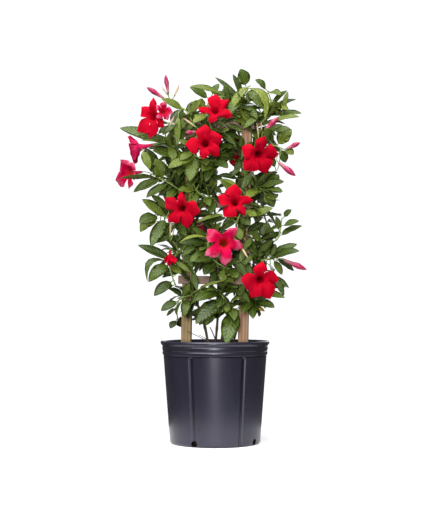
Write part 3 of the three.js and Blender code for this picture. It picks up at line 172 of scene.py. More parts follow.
class Graph:
    """A node tree, written as nested calls."""

    def __init__(self, tree: NodeTree) -> None:
        """Hold the tree."""
        self.tree = tree

    def feed(self, socket: Socket, value: Value) -> None:
        """Link a socket to another, or set its own value.

        Args:
            socket: An input.
            value: A plain value, or the socket to link.
        """
        if isinstance(value, Socket):
            self.tree.links.new(value, socket)
        elif socket.type == "RGBA" and len(value) == 3:
            socket.default_value = (*value, 1.0)
        else:
            socket.default_value = value

    def node(self, kind: str, inputs: dict[str | int, Value] | None = None, **settings: object) -> Node:
        """Add a node.

        Args:
            kind: The node's type name.
            inputs: Values or sockets for its inputs, by name or index.
            settings: The node's own properties.

        Returns:
            The node.
        """
        made = self.tree.nodes.new(kind)
        for name, value in settings.items():
            setattr(made, name, value)
        for key, value in (inputs or {}).items():
            named = [socket for socket in made.inputs if socket.enabled and socket.name == key]
            self.feed(named[0] if named else made.inputs[key], value)
        return made

    def out(self, kind: str, inputs: dict[str | int, Value] | None = None, **settings: object) -> Socket:
        """Add a node and give its first output in use."""
        return next(socket for socket in self.node(kind, inputs, **settings).outputs if socket.enabled)

    def math(self, operation: str, *values: Value) -> Socket:
        """Work out one number from others."""
        return self.out("ShaderNodeMath", dict(enumerate(values)), operation=operation)

    def times(self, *factors: Value) -> Socket:
        """Multiply numbers."""
        return reduce(partial(self.math, "MULTIPLY"), factors)

    def plus(self, *terms: Value) -> Socket:
        """Add numbers."""
        return reduce(partial(self.math, "ADD"), terms)

    def vector(self, operation: str, *values: Value) -> Socket:
        """Work out one vector from others."""
        return self.out("ShaderNodeVectorMath", dict(enumerate(values)), operation=operation)

    def total(self, *vectors: Value) -> Socket:
        """Add vectors."""
        return reduce(partial(self.vector, "ADD"), vectors)

    def scaled(self, vector: Value, factor: Value) -> Socket:
        """Scale a vector by one number."""
        return self.out("ShaderNodeVectorMath", {0: vector, "Scale": factor}, operation="SCALE")

    def combine(self, x: Value, y: Value, z: Value = 0.0) -> Socket:
        """Join three numbers to a vector."""
        return self.out("ShaderNodeCombineXYZ", {0: x, 1: y, 2: z})

    def noise(self, vector: Value, scale: Value, detail: float = 3.0, roughness: float = 0.55) -> Socket:
        """Give fractal noise between 0 and 1."""
        inputs = {"Vector": vector, "Scale": scale, "Detail": detail, "Roughness": roughness}
        return self.node("ShaderNodeTexNoise", inputs).outputs["Fac"]


class Shader(Graph):
    """A material's node graph."""

    def __init__(self, name: str) -> None:
        """Start an empty material with a principled surface.

        Args:
            name: The material's name.
        """
        self.material = bpy.data.materials.new(name)
        self.material.use_nodes = True
        super().__init__(self.material.node_tree)
        self.surface = self.tree.nodes["Principled BSDF"]

    def position(self) -> Socket:
        """Give the object's own coordinates."""
        return self.node("ShaderNodeTexCoord").outputs["Object"]

    def attribute(self, name: str, output: str = "Fac") -> Socket:
        """Give an attribute of the piece's mesh."""
        return self.node("ShaderNodeAttribute", attribute_name=name).outputs[output]

    def stretched(self, vector: Value, scale: Sequence[float]) -> Socket:
        """Scale a vector along each axis."""
        return self.vector("MULTIPLY", vector, scale)

    def steps(self, value: Value, stops: Sequence[Pair]) -> Socket:
        """Map a number through stops of place and grey level."""
        return self.ramp(value, [(place, (grey, grey, grey)) for place, grey in stops])

    def ramp(self, value: Value, stops: Sequence[tuple[float, Sequence[float]]]) -> Socket:
        """Map a number to a colour.

        Args:
            value: The number.
            stops: Places from 0 to 1 and their colours.

        Returns:
            The colour socket.
        """
        made = self.node("ShaderNodeValToRGB", {0: value})
        elements = made.color_ramp.elements
        while len(elements) < len(stops):
            elements.new(0.5)
        for element, (place, colour) in zip(elements, stops, strict=True):
            element.position = place
            element.color = (*colour, 1.0)
        return made.outputs[0]

    def blend(self, share: Value, a: Value, b: Value, kind: str = "MIX") -> Socket:
        """Mix two colours.

        Args:
            share: How much there is of the second.
            a: The first colour.
            b: The second colour.
            kind: How they are mixed.

        Returns:
            The colour socket.
        """
        made = self.node("ShaderNodeMix", data_type="RGBA", blend_type=kind)
        self.feed(made.inputs[0], share)
        self.feed(made.inputs[6], a)
        self.feed(made.inputs[7], b)
        return made.outputs[2]

    def bump(self, height: Value, distance: float, strength: float = 1.0, under: Value | None = None) -> Socket:
        """Turn a height into a normal.

        Args:
            height: The height.
            distance: How far a height of 1 stands out, in metres.
            strength: How much of it shows.
            under: A normal that it lies on.

        Returns:
            The normal socket.
        """
        made = self.node("ShaderNodeBump", {"Height": height, "Distance": distance, "Strength": strength})
        if under is not None:
            self.feed(made.inputs["Normal"], under)
        return made.outputs[0]

    def finish(self, **inputs: Value) -> Material:
        """Feed the principled surface.

        Args:
            inputs: Values for its sockets, with underscores for spaces.

        Returns:
            The material.
        """
        for name, value in inputs.items():
            self.feed(self.surface.inputs[name.replace("_", " ")], value)
        return self.material


@dataclass(frozen=True)
class PotPlastic:
    """Moulded nursery-pot plastic: bluish charcoal, with flow marks, fine scuffs, dust, and painted shade in its band
    grooves and flutes.
    """

    # the near-black colour of the painted shade in the grooves and flutes
    deep: Triple = (0.0015, 0.0014, 0.0022)
    dark: Triple = (0.0094, 0.0085, 0.0155)
    pale: Triple = (0.015, 0.0138, 0.025)
    dust: Triple = (0.036, 0.033, 0.040)
    roughness: Pair = (0.26, 0.33)

    def material(self) -> Material:
        """Build the material.

        Returns:
            The material.
        """
        shader = Shader("pot_plastic")
        place = shader.position()
        flow = shader.noise(shader.stretched(place, (9, 9, 2.2)), 1.4, 4)
        streak = shader.noise(shader.stretched(place, (170, 170, 9)), 1.0, 3)
        speck = shader.noise(place, 260, 2)
        colour = shader.blend(shader.steps(flow, [(0.3, 0), (0.7, 1)]), self.dark, self.pale)
        scuff = shader.steps(streak, [(0.6, 0), (0.78, 0.2)])
        colour = shader.blend(scuff, colour, self.dust)
        dust = shader.times(shader.attribute("dust"), shader.steps(speck, [(0.35, 0.25), (0.7, 0.9)]))
        colour = shader.blend(dust, colour, self.dust)
        # painted shade: near black along the band grooves and on the flute floors
        colour = shader.blend(shader.attribute("groove"), colour, self.deep)
        low, high = self.roughness
        rough = shader.steps(flow, [(0.25, low), (0.75, high)])
        normal = shader.bump(speck, 0.00006, 0.5)
        return shader.finish(Base_Color=colour, Roughness=rough, Normal=normal, Specular_IOR_Level=0.62,
                             Specular_Tint=(0.86, 0.86, 1.0))


@dataclass(frozen=True)
class SoilFinish:
    """Dark moist potting mix, mottled from peat black to bark brown."""

    dark: Triple = (0.006, 0.0045, 0.004)
    mid: Triple = (0.022, 0.014, 0.010)
    pale: Triple = (0.085, 0.052, 0.032)

    def material(self) -> Material:
        """Build the material.

        Returns:
            The material.
        """
        shader = Shader("potting_soil")
        place = shader.position()
        grain = shader.noise(place, 190, 5, 0.7)
        clump = shader.noise(place, 42, 3)
        colour = shader.ramp(grain, [(0.3, self.dark), (0.52, self.mid), (0.78, self.pale)])
        colour = shader.blend(shader.steps(clump, [(0.35, 0.0), (0.7, 0.5)]), colour, self.dark)
        colour = shader.blend(shader.times(shader.attribute("tone"), 0.45), colour, self.pale)
        normal = shader.bump(grain, 0.0016, 0.8)
        return shader.finish(Base_Color=colour, Roughness=0.94, Normal=normal, Specular_IOR_Level=0.15)


@dataclass(frozen=True)
class WoodFinish:
    """Sawn softwood: grain that runs along the bar, saw marks across it, knots and weathered edges."""

    name: str
    pale: Triple
    mid: Triple
    dark: Triple
    rings: float = 210.0

    def material(self) -> Material:
        """Build the material. The grain follows the bar's own length, kept in the mesh as grain_place.

        Returns:
            The material.
        """
        shader = Shader(self.name)
        place = shader.attribute("grain_place", "Vector")
        wander = shader.noise(shader.stretched(place, (14, 14, 2.4)), 1.0, 2)
        rings = shader.node("ShaderNodeTexWave", {
            "Vector": shader.stretched(place, (1, 0.7, 0.045)), "Scale": self.rings / 6.3, "Distortion": 5.5,
            "Detail": 2.5, "Detail Scale": 1.4}, wave_type="BANDS", bands_direction="X").outputs["Fac"]
        fibre = shader.noise(shader.stretched(place, (620, 620, 14)), 1.0, 3)
        saw = shader.noise(shader.stretched(place, (6, 6, 420)), 1.0, 2)
        colour = shader.ramp(rings, [(0.1, self.pale), (0.55, self.mid), (0.95, self.dark)])
        colour = shader.blend(shader.steps(wander, [(0.35, 0), (0.7, 0.55)]), colour, self.mid)
        colour = shader.blend(shader.steps(fibre, [(0.5, 0), (0.75, 0.55)]), colour, self.dark)
        worn = shader.times(shader.attribute("wear"), shader.steps(fibre, [(0.3, 0.2), (0.6, 0.8)]))
        colour = shader.blend(worn, colour, self.pale)
        wet = shader.times(shader.attribute("damp"), shader.steps(wander, [(0.2, 0.55), (0.8, 1)]))
        colour = shader.blend(wet, colour, (0.035, 0.022, 0.014))
        normal = shader.bump(fibre, 0.0005, 0.6, shader.bump(saw, 0.0003, 0.4))
        return shader.finish(Base_Color=colour, Roughness=0.72, Normal=normal)


@dataclass(frozen=True)
class SteelFinish:
    """Dull wire-nail steel with a little rust."""

    def material(self) -> Material:
        """Build the material.

        Returns:
            The material.
        """
        shader = Shader("nail_steel")
        place = shader.position()
        spots = shader.noise(place, 900, 4)
        rust = shader.steps(spots, [(0.5, 0), (0.68, 0.8)])
        colour = shader.blend(rust, (0.19, 0.18, 0.17), (0.12, 0.045, 0.018))
        rough = shader.steps(spots, [(0.3, 0.3), (0.7, 0.75)])
        return shader.finish(Base_Color=colour, Metallic=0.85, Roughness=rough, Normal=shader.bump(spots, 0.0002, 0.5))


@dataclass(frozen=True)
class BarkFinish:
    """Dark woody stem: brown bark with pale raised pores and streaks along its length."""

    dark: Triple = (0.026, 0.018, 0.012)
    mid: Triple = (0.075, 0.048, 0.028)
    pale: Triple = (0.19, 0.15, 0.09)

    def material(self) -> Material:
        """Build the material.

        Returns:
            The material.
        """
        shader = Shader("vine_bark")
        along = shader.combine(shader.attribute("reach"), shader.attribute("girth"))
        place = shader.position()
        streak = shader.noise(shader.stretched(place, (420, 420, 40)), 1.0, 4, 0.65)
        pores = shader.noise(place, 700, 2)
        band = shader.noise(shader.stretched(along, (60, 900, 1)), 1.0, 2)
        colour = shader.ramp(streak, [(0.28, self.dark), (0.55, self.mid), (0.85, self.pale)])
        colour = shader.blend(shader.steps(band, [(0.45, 0), (0.7, 0.5)]), colour, self.mid)
        colour = shader.blend(shader.steps(pores, [(0.62, 0), (0.7, 0.7)]), colour, self.pale)
        normal = shader.bump(streak, 0.0009, 0.8, shader.bump(pores, 0.0003, 0.5))
        return shader.finish(Base_Color=colour, Roughness=0.78, Normal=normal)


@dataclass(frozen=True)
class StemFinish:
    """Young stem and flower stalk: fresh green that browns where it is thick."""

    green: Triple = (0.155, 0.26, 0.045)
    lime: Triple = (0.33, 0.40, 0.09)
    brown: Triple = (0.085, 0.052, 0.026)

    def material(self) -> Material:
        """Build the material. age is 0 on a fresh stalk and 1 on old wood.

        Returns:
            The material.
        """
        shader = Shader("green_stem")
        place = shader.position()
        streak = shader.noise(shader.stretched(place, (300, 300, 50)), 1.0, 3)
        colour = shader.blend(shader.steps(streak, [(0.35, 0), (0.7, 1)]), self.green, self.lime)
        age = shader.times(shader.attribute("age"), shader.steps(streak, [(0.2, 1), (0.8, 0.55)]))
        colour = shader.blend(age, colour, self.brown)
        return shader.finish(Base_Color=colour, Roughness=0.5, Normal=shader.bump(streak, 0.0003, 0.5))


@dataclass(frozen=True)
class LeafFinish:
    """Mandevilla leaf: glossy green above, duller and paler below, with a pale midrib and arched side veins."""

    deep: Triple = (0.011, 0.028, 0.003)
    mid: Triple = (0.083, 0.130, 0.014)
    fresh: Triple = (0.220, 0.275, 0.028)
    vein: Triple = (0.21, 0.27, 0.06)
    back: Triple = (0.150, 0.190, 0.060)
    yellow: Triple = (0.55, 0.36, 0.03)
    side_veins: float = 9.0
    vein_rake: float = 0.55

    def material(self) -> Material:
        """Build the material from the mesh's along, flat, top and tone.

        Returns:
            The material.
        """
        shader = Shader("foliage")
        place = shader.position()
        along, flat, tone, top = map(shader.attribute, ("along", "flat", "tone", "top"))
        away = shader.math("ABSOLUTE", flat)
        mottle = shader.noise(place, 55, 4)
        body = shader.ramp(tone, [(0.0, self.deep), (0.45, self.mid), (0.85, self.fresh), (1.0, self.yellow)])
        body = shader.blend(shader.steps(mottle, [(0.3, 0), (0.75, 0.42)]), body, self.deep)
        body = shader.blend(shader.steps(away, [(0.55, 0), (1.0, 0.3)]), body, self.fresh)
        midrib = shader.steps(away, [(0.0, 1), (0.03, 0.7), (0.075, 0)])
        raked = shader.math("SUBTRACT", shader.times(along, self.side_veins),
                            shader.times(away, self.side_veins * self.vein_rake * 0.4))
        wave = shader.math("ABSOLUTE", shader.math("SINE", shader.times(raked, pi)))
        side = shader.steps(wave, [(0.0, 0.32), (0.08, 0.16), (0.2, 0)])
        veins = shader.math("MAXIMUM", midrib, side)
        face = shader.blend(shader.times(veins, 0.55), body, self.vein)
        under = shader.blend(0.35, self.back, body)
        under = shader.blend(shader.times(veins, 0.5), under, self.vein)
        colour = shader.blend(top, under, face)
        quilt = shader.steps(wave, [(0.0, 0), (0.5, 0.8), (1.0, 1)])
        sunk = shader.math("SUBTRACT", quilt, shader.times(midrib, 1.4))
        normal = shader.bump(mottle, 0.0016, 0.35, shader.bump(sunk, 0.0011, 0.55))
        rough = shader.steps(shader.noise(place, 130, 3), [(0.3, 0.25), (0.75, 0.4)])
        return shader.finish(Base_Color=colour, Roughness=rough, Normal=normal, Specular_IOR_Level=0.34)


@dataclass(frozen=True)
class PetalFinish:
    """Velvety petal: deep throat, glowing middle, fine veins that run out to a soft, paler edge that is partly a
    painted highlight.
    """

    name: str
    throat: Triple
    ring: Triple
    body: Triple
    shade: Triple
    edge: Triple
    edge_share: float
    outside: Triple

    def material(self) -> Material:
        """Build the material from the mesh's run (0 in the throat, 1 at the rim), flat, top and tone.

        Returns:
            The material.
        """
        shader = Shader(self.name)
        place = shader.position()
        run, flat, top = map(shader.attribute, ("run", "flat", "top"))
        fan = shader.combine(shader.times(flat, 26), shader.times(run, 2.2), shader.attribute("tone"))
        veins = shader.noise(fan, 1.0, 3)
        cloud = shader.noise(place, 48, 3)
        inside = shader.ramp(run, [(0.0, self.throat), (0.1, self.throat), (0.24, self.ring), (0.46, self.body)])
        # painted shade: some lobes are darkened at random towards the shade colour
        inside = shader.blend(shader.steps(shader.attribute("hue"), [(0.3, 0), (0.9, 0.6)]), inside, self.shade)
        inside = shader.blend(shader.steps(cloud, [(0.35, 0), (0.75, 0.55)]), inside, self.shade)
        # a paler rim towards the margin: partly the petal's own colour, partly a painted highlight on its edges
        rim = shader.times(shader.steps(run, [(0.62, 0), (1.0, 1)]), shader.steps(cloud, [(0.42, 0.1), (0.6, 1.0)]))
        inside = shader.blend(shader.times(rim, self.edge_share), inside, self.edge)
        inside = shader.blend(shader.steps(veins, [(0.46, 0), (0.7, 0.55)]), inside, self.shade)
        back = shader.blend(shader.steps(run, [(0.1, 0), (0.7, 0.6)]), self.outside, self.body)
        back = shader.blend(shader.steps(veins, [(0.34, 0.3), (0.5, 0)]), back, self.edge)
        colour = shader.blend(top, back, inside)
        normal = shader.bump(veins, 0.0007, 0.5, shader.bump(cloud, 0.0015, 0.35))
        return shader.finish(Base_Color=colour, Roughness=0.65, Normal=normal, Specular_IOR_Level=0.04)


@dataclass(frozen=True)
class BudFinish:
    """Rolled bud: pale green at its base, deepest at the tip, and darker pink along the grooves between its rolled
    petals, as painted shade.
    """

    name: str
    base: Triple
    middle: Triple
    tip: Triple
    fold: Triple

    def material(self) -> Material:
        """Build the material from the mesh's run and fold shade, the painted shade of its grooves.

        Returns:
            The material.
        """
        shader = Shader(self.name)
        place = shader.position()
        run = shader.attribute("run")
        streak = shader.noise(shader.stretched(place, (260, 260, 260)), 1.0, 3)
        colour = shader.ramp(run, [(0.0, self.base), (0.16, self.base), (0.42, self.middle), (1.0, self.tip)])
        # painted shade: the grooves between the rolled petals darken towards the fold shade colour
        colour = shader.blend(shader.times(shader.attribute("fold"), 0.7), colour, self.fold)
        colour = shader.blend(shader.steps(streak, [(0.5, 0), (0.75, 0.25)]), colour, self.base)
        return shader.finish(Base_Color=colour, Roughness=0.42, Normal=shader.bump(streak, 0.0004, 0.4),
                             Sheen_Weight=0.1)


@dataclass(frozen=True)
class StudioFinish:
    """Plain pale studio floor with a faint glow that lifts its shadows."""

    colour: Triple = (0.82, 0.82, 0.82)
    glow: float = 0.3

    def material(self) -> Material:
        """Build the material."""
        shader = Shader("studio_floor")
        return shader.finish(Base_Color=self.colour, Roughness=0.9, Specular_IOR_Level=0.1,
                             Emission_Color=(1.0, 1.0, 1.0), Emission_Strength=self.glow)


class Finishes:
    """Every material of the part, made once."""

    def __init__(self) -> None:
        """Build them."""
        self.pot = PotPlastic().material()
        self.soil = SoilFinish().material()
        self.wood = {label: WoodFinish(name, *colours).material() for label, name, *colours in (
            ("left", "post_wood_left", (0.40, 0.285, 0.135), (0.33, 0.225, 0.102), (0.24, 0.155, 0.066)),
            ("right", "post_wood_right", (0.54, 0.32, 0.19), (0.45, 0.258, 0.146), (0.33, 0.173, 0.098)),
            ("rung", "rung_wood", (0.34, 0.23, 0.165), (0.24, 0.155, 0.11), (0.13, 0.08, 0.055)))}
        self.steel = SteelFinish().material()
        self.bark = BarkFinish().material()
        self.stem = StemFinish().material()
        self.leaf = LeafFinish().material()
        self.petals = {
            Tint.RED: PetalFinish("petal_red", (0.44, 0.0, 0.012), (0.42, 0.0, 0.011), (0.52, 0.0001, 0.014),
                                  (0.24, 0.0, 0.010), (0.76, 0.004, 0.030), 0.6, (0.38, 0.001, 0.016)).material(),
            Tint.PINK: PetalFinish("petal_pink", (0.60, 0.13, 0.006), (0.52, 0.012, 0.010), (0.52, 0.0, 0.050),
                                   (0.32, 0.0, 0.024), (0.80, 0.20, 0.34), 0.75, (0.50, 0.001, 0.070)).material(),
        }
        self.bud = BudFinish("bud_pink", (0.60, 0.28, 0.29), (0.54, 0.010, 0.115), (0.36, 0.002, 0.06),
                             (0.24, 0.0, 0.035)).material()
        self.spike = BudFinish("young_bud", (0.34, 0.40, 0.12), (0.72, 0.60, 0.32), (0.74, 0.30, 0.32),
                               (0.44, 0.28, 0.15)).material()


# Meshes and pieces


def place_object(name: str, data: bpy.types.ID) -> Object:
    """Make an object of its data and link it to the scene."""
    made = bpy.data.objects.new(name, data)
    bpy.context.scene.collection.objects.link(made)
    return made


def mesh_object(name: str, points: Sequence[Vector], faces: Sequence[Sequence[int]],
                attributes: dict[str, Sequence] | None = None, edges: Sequence[Sequence[int]] = ()) -> Object:
    """Make a mesh object with named attributes on its points.

    Args:
        name: The object's name.
        points: Its vertices.
        faces: Its faces, as vertex numbers.
        attributes: Numbers or vectors for each vertex, by name.
        edges: Loose edges, as vertex numbers.

    Returns:
        The object, linked to the scene.
    """
    mesh = bpy.data.meshes.new(name)
    mesh.from_pydata(*([tuple(part) for part in parts] for parts in (points, edges, faces)))
    for label, values in (attributes or {}).items():
        flat = np.array([tuple(value) if hasattr(value, "__len__") else value for value in values], dtype=np.float32)
        kind, key = ("FLOAT_VECTOR", "vector") if flat.ndim == 2 else ("FLOAT", "value")
        mesh.attributes.new(label, kind, "POINT").data.foreach_set(key, flat.ravel())
    mesh.update()
    return place_object(name, mesh)


def loft(rings: Sequence[Sequence[int]], inward: bool = False) -> list[tuple[int, ...]]:
    """Join rings of vertices with faces.

    Args:
        rings: The numbers of each ring's vertices, of which a pole has one.
        inward: Whether the faces are turned round.

    Returns:
        The faces.
    """
    faces = []
    for near, far in zip(rings, rings[1:]):
        for column in range(max(len(near), len(far))):
            low, low_after = (near[place % len(near)] for place in (column, column + 1))
            high, high_after = (far[place % len(far)] for place in (column, column + 1))
            corners = (low, low_after, high_after, high) if inward else (low, high, high_after, low_after)
            faces.append(tuple(dict.fromkeys(corners)))
    return faces


def remove(*objects: Object) -> None:
    """Remove objects and their meshes.

    Args:
        objects: What goes.
    """
    for one in objects:
        data = one.data
        bpy.data.objects.remove(one)
        if isinstance(data, bpy.types.Mesh) and not data.users:
            bpy.data.meshes.remove(data)


def settle(name: str, source: Object) -> Object:
    """Make an object of a source as its modifiers leave it, and remove the source.

    Args:
        name: The result's name.
        source: An object with modifiers.

    Returns:
        The plain object.
    """
    mesh = bpy.data.meshes.new_from_object(source.evaluated_get(bpy.context.evaluated_depsgraph_get()))
    source.modifiers.clear()
    remove(source)
    mesh.name = name
    return place_object(name, mesh)


def join(target: Object, other: Object) -> Object:
    """Join an object into another, which keeps its name."""
    with bpy.context.temp_override(active_object=target, selected_editable_objects=[target, other]):
        bpy.ops.object.join()
    return target


def thicken(points: Sequence[Vector], faces: Sequence[Sequence[int]], thickness: float,
            attributes: dict[str, Sequence[float]]) -> tuple[list[Vector], list[Sequence[int]], dict[str, list[float]]]:
    """Turn an open sheet into a closed shell, grown against its normals.

    Args:
        points: The sheet's vertices.
        faces: Its faces, which face the upper side.
        thickness: The shell's thickness.
        attributes: Numbers for each vertex, by name.

    Returns:
        The shell's vertices, faces and attributes, with top added: 1 on the upper side and 0 below.
    """
    sheet = bmesh.new()
    corners = [sheet.verts.new(point) for point in points]
    for face in faces:
        sheet.faces.new([corners[index] for index in face])
    sheet.normal_update()
    sheet.verts.index_update()
    count = len(points)
    under = [corner.co - corner.normal * thickness for corner in corners]
    closed = [tuple(face) for face in faces]
    closed += [tuple(index + count for index in reversed(face)) for face in faces]
    for edge in sheet.edges:
        if edge.is_boundary:
            loop = edge.link_loops[0]
            a, b = loop.vert.index, loop.link_loop_next.vert.index
            closed.append((b, a, a + count, b + count))
    sheet.free()
    both = {label: [*values, *values] for label, values in attributes.items()}
    both["top"] = [1.0] * count + [0.0] * count
    return [*map(Vector, points), *under], closed, both


def dress(piece: Object, slot: str, nodes: Iterable[str] = (), material: Material | None = None,
          crease: float = 60.0) -> Object:
    """Finish a piece: shade it, give it its material, hang it on the root body, and hide the solids it stands for.

    Args:
        piece: The piece's object, at the origin.
        slot: A material slot name, which is only logged.
        nodes: The solids that the piece stands for.
        material: Its material, where the mesh has none of its own.
        crease: Edges sharper than so many degrees stay sharp.

    Returns:
        The piece.
    """
    if material:
        piece.data.materials.clear()
        piece.data.materials.append(material)
    piece.data.shade_smooth()
    piece.data.set_sharp_from_angle(angle=radians(crease))
    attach(piece, "root")
    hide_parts(*nodes)
    triangles = sum(len(polygon.vertices) - 2 for polygon in piece.data.polygons)
    log.info("%s: %d triangles, slot %s", piece.name, triangles, slot)
    return piece


class GrowthTree(Graph):
    """A geometry-node tree with named inputs for its sizes."""

    SOCKETS = {float: "NodeSocketFloat", int: "NodeSocketInt", Material: "NodeSocketMaterial",
               Object: "NodeSocketObject"}

    def __init__(self, name: str, sizes: dict[str, object]) -> None:
        """Start a tree.

        Args:
            name: The tree's name.
            sizes: The values of its inputs, by name.
        """
        super().__init__(bpy.data.node_groups.new(name, "GeometryNodeTree"))
        face = self.tree.interface
        for way in ("INPUT", "OUTPUT"):
            face.new_socket("Geometry", in_out=way, socket_type="NodeSocketGeometry")
        self.values = {
            face.new_socket(label, in_out="INPUT", socket_type=self.SOCKETS[type(value)]).identifier: value
            for label, value in sizes.items()
        }
        self.entry = self.tree.nodes.new("NodeGroupInput")
        self.exit = self.tree.nodes.new("NodeGroupOutput")

    def size(self, label: str) -> Socket:
        """Give one of the tree's inputs."""
        return self.entry.outputs[label]

    def attribute(self, name: str, kind: str = "FLOAT") -> Socket:
        """Give a named attribute of the geometry."""
        return self.out("GeometryNodeInputNamedAttribute", {"Name": name}, data_type=kind)

    def random(self, low: Value, high: Value, offset: int) -> Socket:
        """Give a seeded random number for each element."""
        inputs = {"Min": low, "Max": high, "Seed": self.plus(self.size("Seed"), offset)}
        return self.out("FunctionNodeRandomValue", inputs, data_type="FLOAT")

    def patterns(self) -> Socket:
        """Set the pattern object on each vertex of the source."""
        points = self.out("GeometryNodeMeshToPoints", {"Mesh": self.size("Geometry")})
        source = self.node("GeometryNodeObjectInfo", {"Object": self.size("Pattern"), "As Instance": True})
        return self.out("GeometryNodeInstanceOnPoints", {"Points": points, "Instance": source.outputs["Geometry"]})

    def close(self, geometry: Socket) -> None:
        """End the tree: make the instances real and give them their material."""
        real = self.out("GeometryNodeRealizeInstances", {"Geometry": geometry})
        coated = self.out("GeometryNodeSetMaterial", {"Geometry": real, "Material": self.size("Material")})
        self.tree.links.new(coated, self.exit.inputs[0])

    def grow(self, source: Object, name: str) -> Object:
        """Run the tree on an object and keep the result as a plain mesh.

        Args:
            source: What the tree grows from. It is removed.
            name: The result's name.

        Returns:
            The grown object.
        """
        modifier = source.modifiers.new("growth", "NODES")
        modifier.node_group = self.tree
        for identifier, value in self.values.items():
            modifier[identifier] = value
        return settle(name, source)


class TubeTree(GrowthTree):
    """Grows a round, slightly gnarled tube along each path of a mesh, as thick as its girth says."""

    def __init__(self, name: str, material: Material, sides: int, gnarl: float, knots: float) -> None:
        """Build the tree.

        Args:
            name: The tree's name.
            material: The tube's material.
            sides: Points round the tube.
            gnarl: How far its skin wanders, as a share of its girth.
            knots: How many wanders there are in a metre.
        """
        super().__init__(name, {"Sides": sides, "Gnarl": gnarl, "Knots": knots, "Material": material})
        path = self.out("GeometryNodeMeshToCurve", {"Mesh": self.size("Geometry")})
        ring = self.out("GeometryNodeCurvePrimitiveCircle", {"Resolution": self.size("Sides"), "Radius": 1.0})
        tube = self.out("GeometryNodeCurveToMesh", {
            "Curve": path, "Profile Curve": ring, "Scale": self.attribute("girth"), "Fill Caps": True})
        lump = self.math("SUBTRACT", self.noise(self.out("GeometryNodeInputPosition"), self.size("Knots")), 0.5)
        reach = self.times(lump, self.size("Gnarl"), self.attribute("girth"))
        offset = self.scaled(self.out("GeometryNodeInputNormal"), reach)
        self.close(self.out("GeometryNodeSetPosition", {"Geometry": tube, "Offset": offset}))


@dataclass
class Path:
    """A line that a tube follows: its points, and the girth and age at each."""

    points: list[Vector]
    girths: list[float]
    ages: list[float]


def path_mesh(name: str, paths: Sequence[Path]) -> Object:
    """Make the loose edges that a tube tree grows along.

    Args:
        name: The object's name.
        paths: The lines.

    Returns:
        A mesh of edges with girth, age and reach on its points.
    """
    points, edges, girths, ages, reaches = [], [], [], [], []
    for path in paths:
        start, count = len(points), len(path.points)
        edges += [(start + index, start + index + 1) for index in range(count - 1)]
        points += path.points
        girths += path.girths
        ages += path.ages
        reaches += run_along(path.points).tolist()
    return mesh_object(name, points, (), {"girth": girths, "age": ages, "reach": reaches}, edges)


# Curves


def run_along(points: Sequence[Vector]) -> np.ndarray:
    """Measure how far along a line each of its points lies."""
    return np.cumsum([0.0, *((b - a).length for a, b in zip(points, points[1:]))])


@dataclass(frozen=True)
class Spline:
    """A smooth line through points, of the uniform Catmull-Rom kind."""

    points: tuple[Vector, ...]
    tables: int = 200

    def at(self, share: float) -> Vector:
        """Give the point at a share of the line's parameter.

        Args:
            share: From 0 at its start to 1 at its end.

        Returns:
            The point.
        """
        knots = self.points
        place = share * (len(knots) - 1)
        index = min(int(place), len(knots) - 2)
        weight = place - index
        here, there = knots[index], knots[index + 1]
        before = knots[index - 1] if index else here * 2 - there
        after = knots[index + 2] if index + 2 < len(knots) else there * 2 - here
        leave, arrive = (there - before) * 0.5, (after - here) * 0.5
        bend = (there - here) * 3 - leave * 2 - arrive
        close = (here - there) * 2 + leave + arrive
        return here + leave * weight + bend * weight**2 + close * weight**3

    def samples(self) -> tuple[list[Vector], np.ndarray]:
        """Give close points of the line and how far along it they lie."""
        points = [self.at(index / self.tables) for index in range(self.tables + 1)]
        return points, run_along(points)

    def spaced(self, count: int) -> list[Vector]:
        """Give count + 1 points at even distances along the line."""
        points, runs = self.samples()
        shares = np.interp(np.linspace(0, runs[-1], count + 1), runs, np.linspace(0, 1, len(points)))
        return [self.at(float(share)) for share in shares]

    def stepped(self, step: float) -> list[Vector]:
        """Give evenly spaced points about one step apart."""
        return self.spaced(max(2, round(float(self.samples()[1][-1]) / step)))


def along_polyline(points: Sequence[Vector], count: int) -> list[Vector]:
    """Give count + 1 points at even distances along straight lengths.

    Args:
        points: The line's corners.
        count: How many lengths it is cut in.

    Returns:
        The points.
    """
    runs = run_along(points)
    table = np.array([tuple(point) for point in points])
    wanted = np.linspace(0, runs[-1], count + 1)
    return [Vector([float(np.interp(run, runs, table[:, axis])) for axis in range(3)]) for run in wanted]


def bezier(start: Vector, handle: Vector, end: Vector, count: int) -> list[Vector]:
    """Give count + 1 points of a quadratic curve."""
    shares = [index / count for index in range(count + 1)]
    return [start * (1 - t) ** 2 + handle * (2 * t * (1 - t)) + end * t**2 for t in shares]


def search_tree(places: Sequence[Vector]) -> KDTree:
    """Make a search tree of points.

    Args:
        places: The points.

    Returns:
        The tree.
    """
    tree = KDTree(len(places))
    for index, place in enumerate(places):
        tree.insert(place, index)
    tree.balance()
    return tree


# Pot and soil


def rounded_profile(corners: Sequence[Triple], steps: int = 4) -> list[Pair]:
    """Round the corners of a profile.

    Args:
        corners: Radius, height and rounding of each corner, in millimetres.
        steps: Lengths in each rounding.

    Returns:
        The profile's points.
    """
    points: list[Pair] = []
    for index, (x, y, rounding) in enumerate(corners):
        if not rounding or index in (0, len(corners) - 1):
            points.append((x, y))
            continue
        corner = Vector((x, y))
        before = Vector(corners[index - 1][:2]) - corner
        after = Vector(corners[index + 1][:2]) - corner
        cut = min(rounding, before.length * 0.45, after.length * 0.45)
        start, end = corner + before.normalized() * cut, corner + after.normalized() * cut
        points += [tuple(point) for point in bezier(start, corner, end, steps)]
    return points


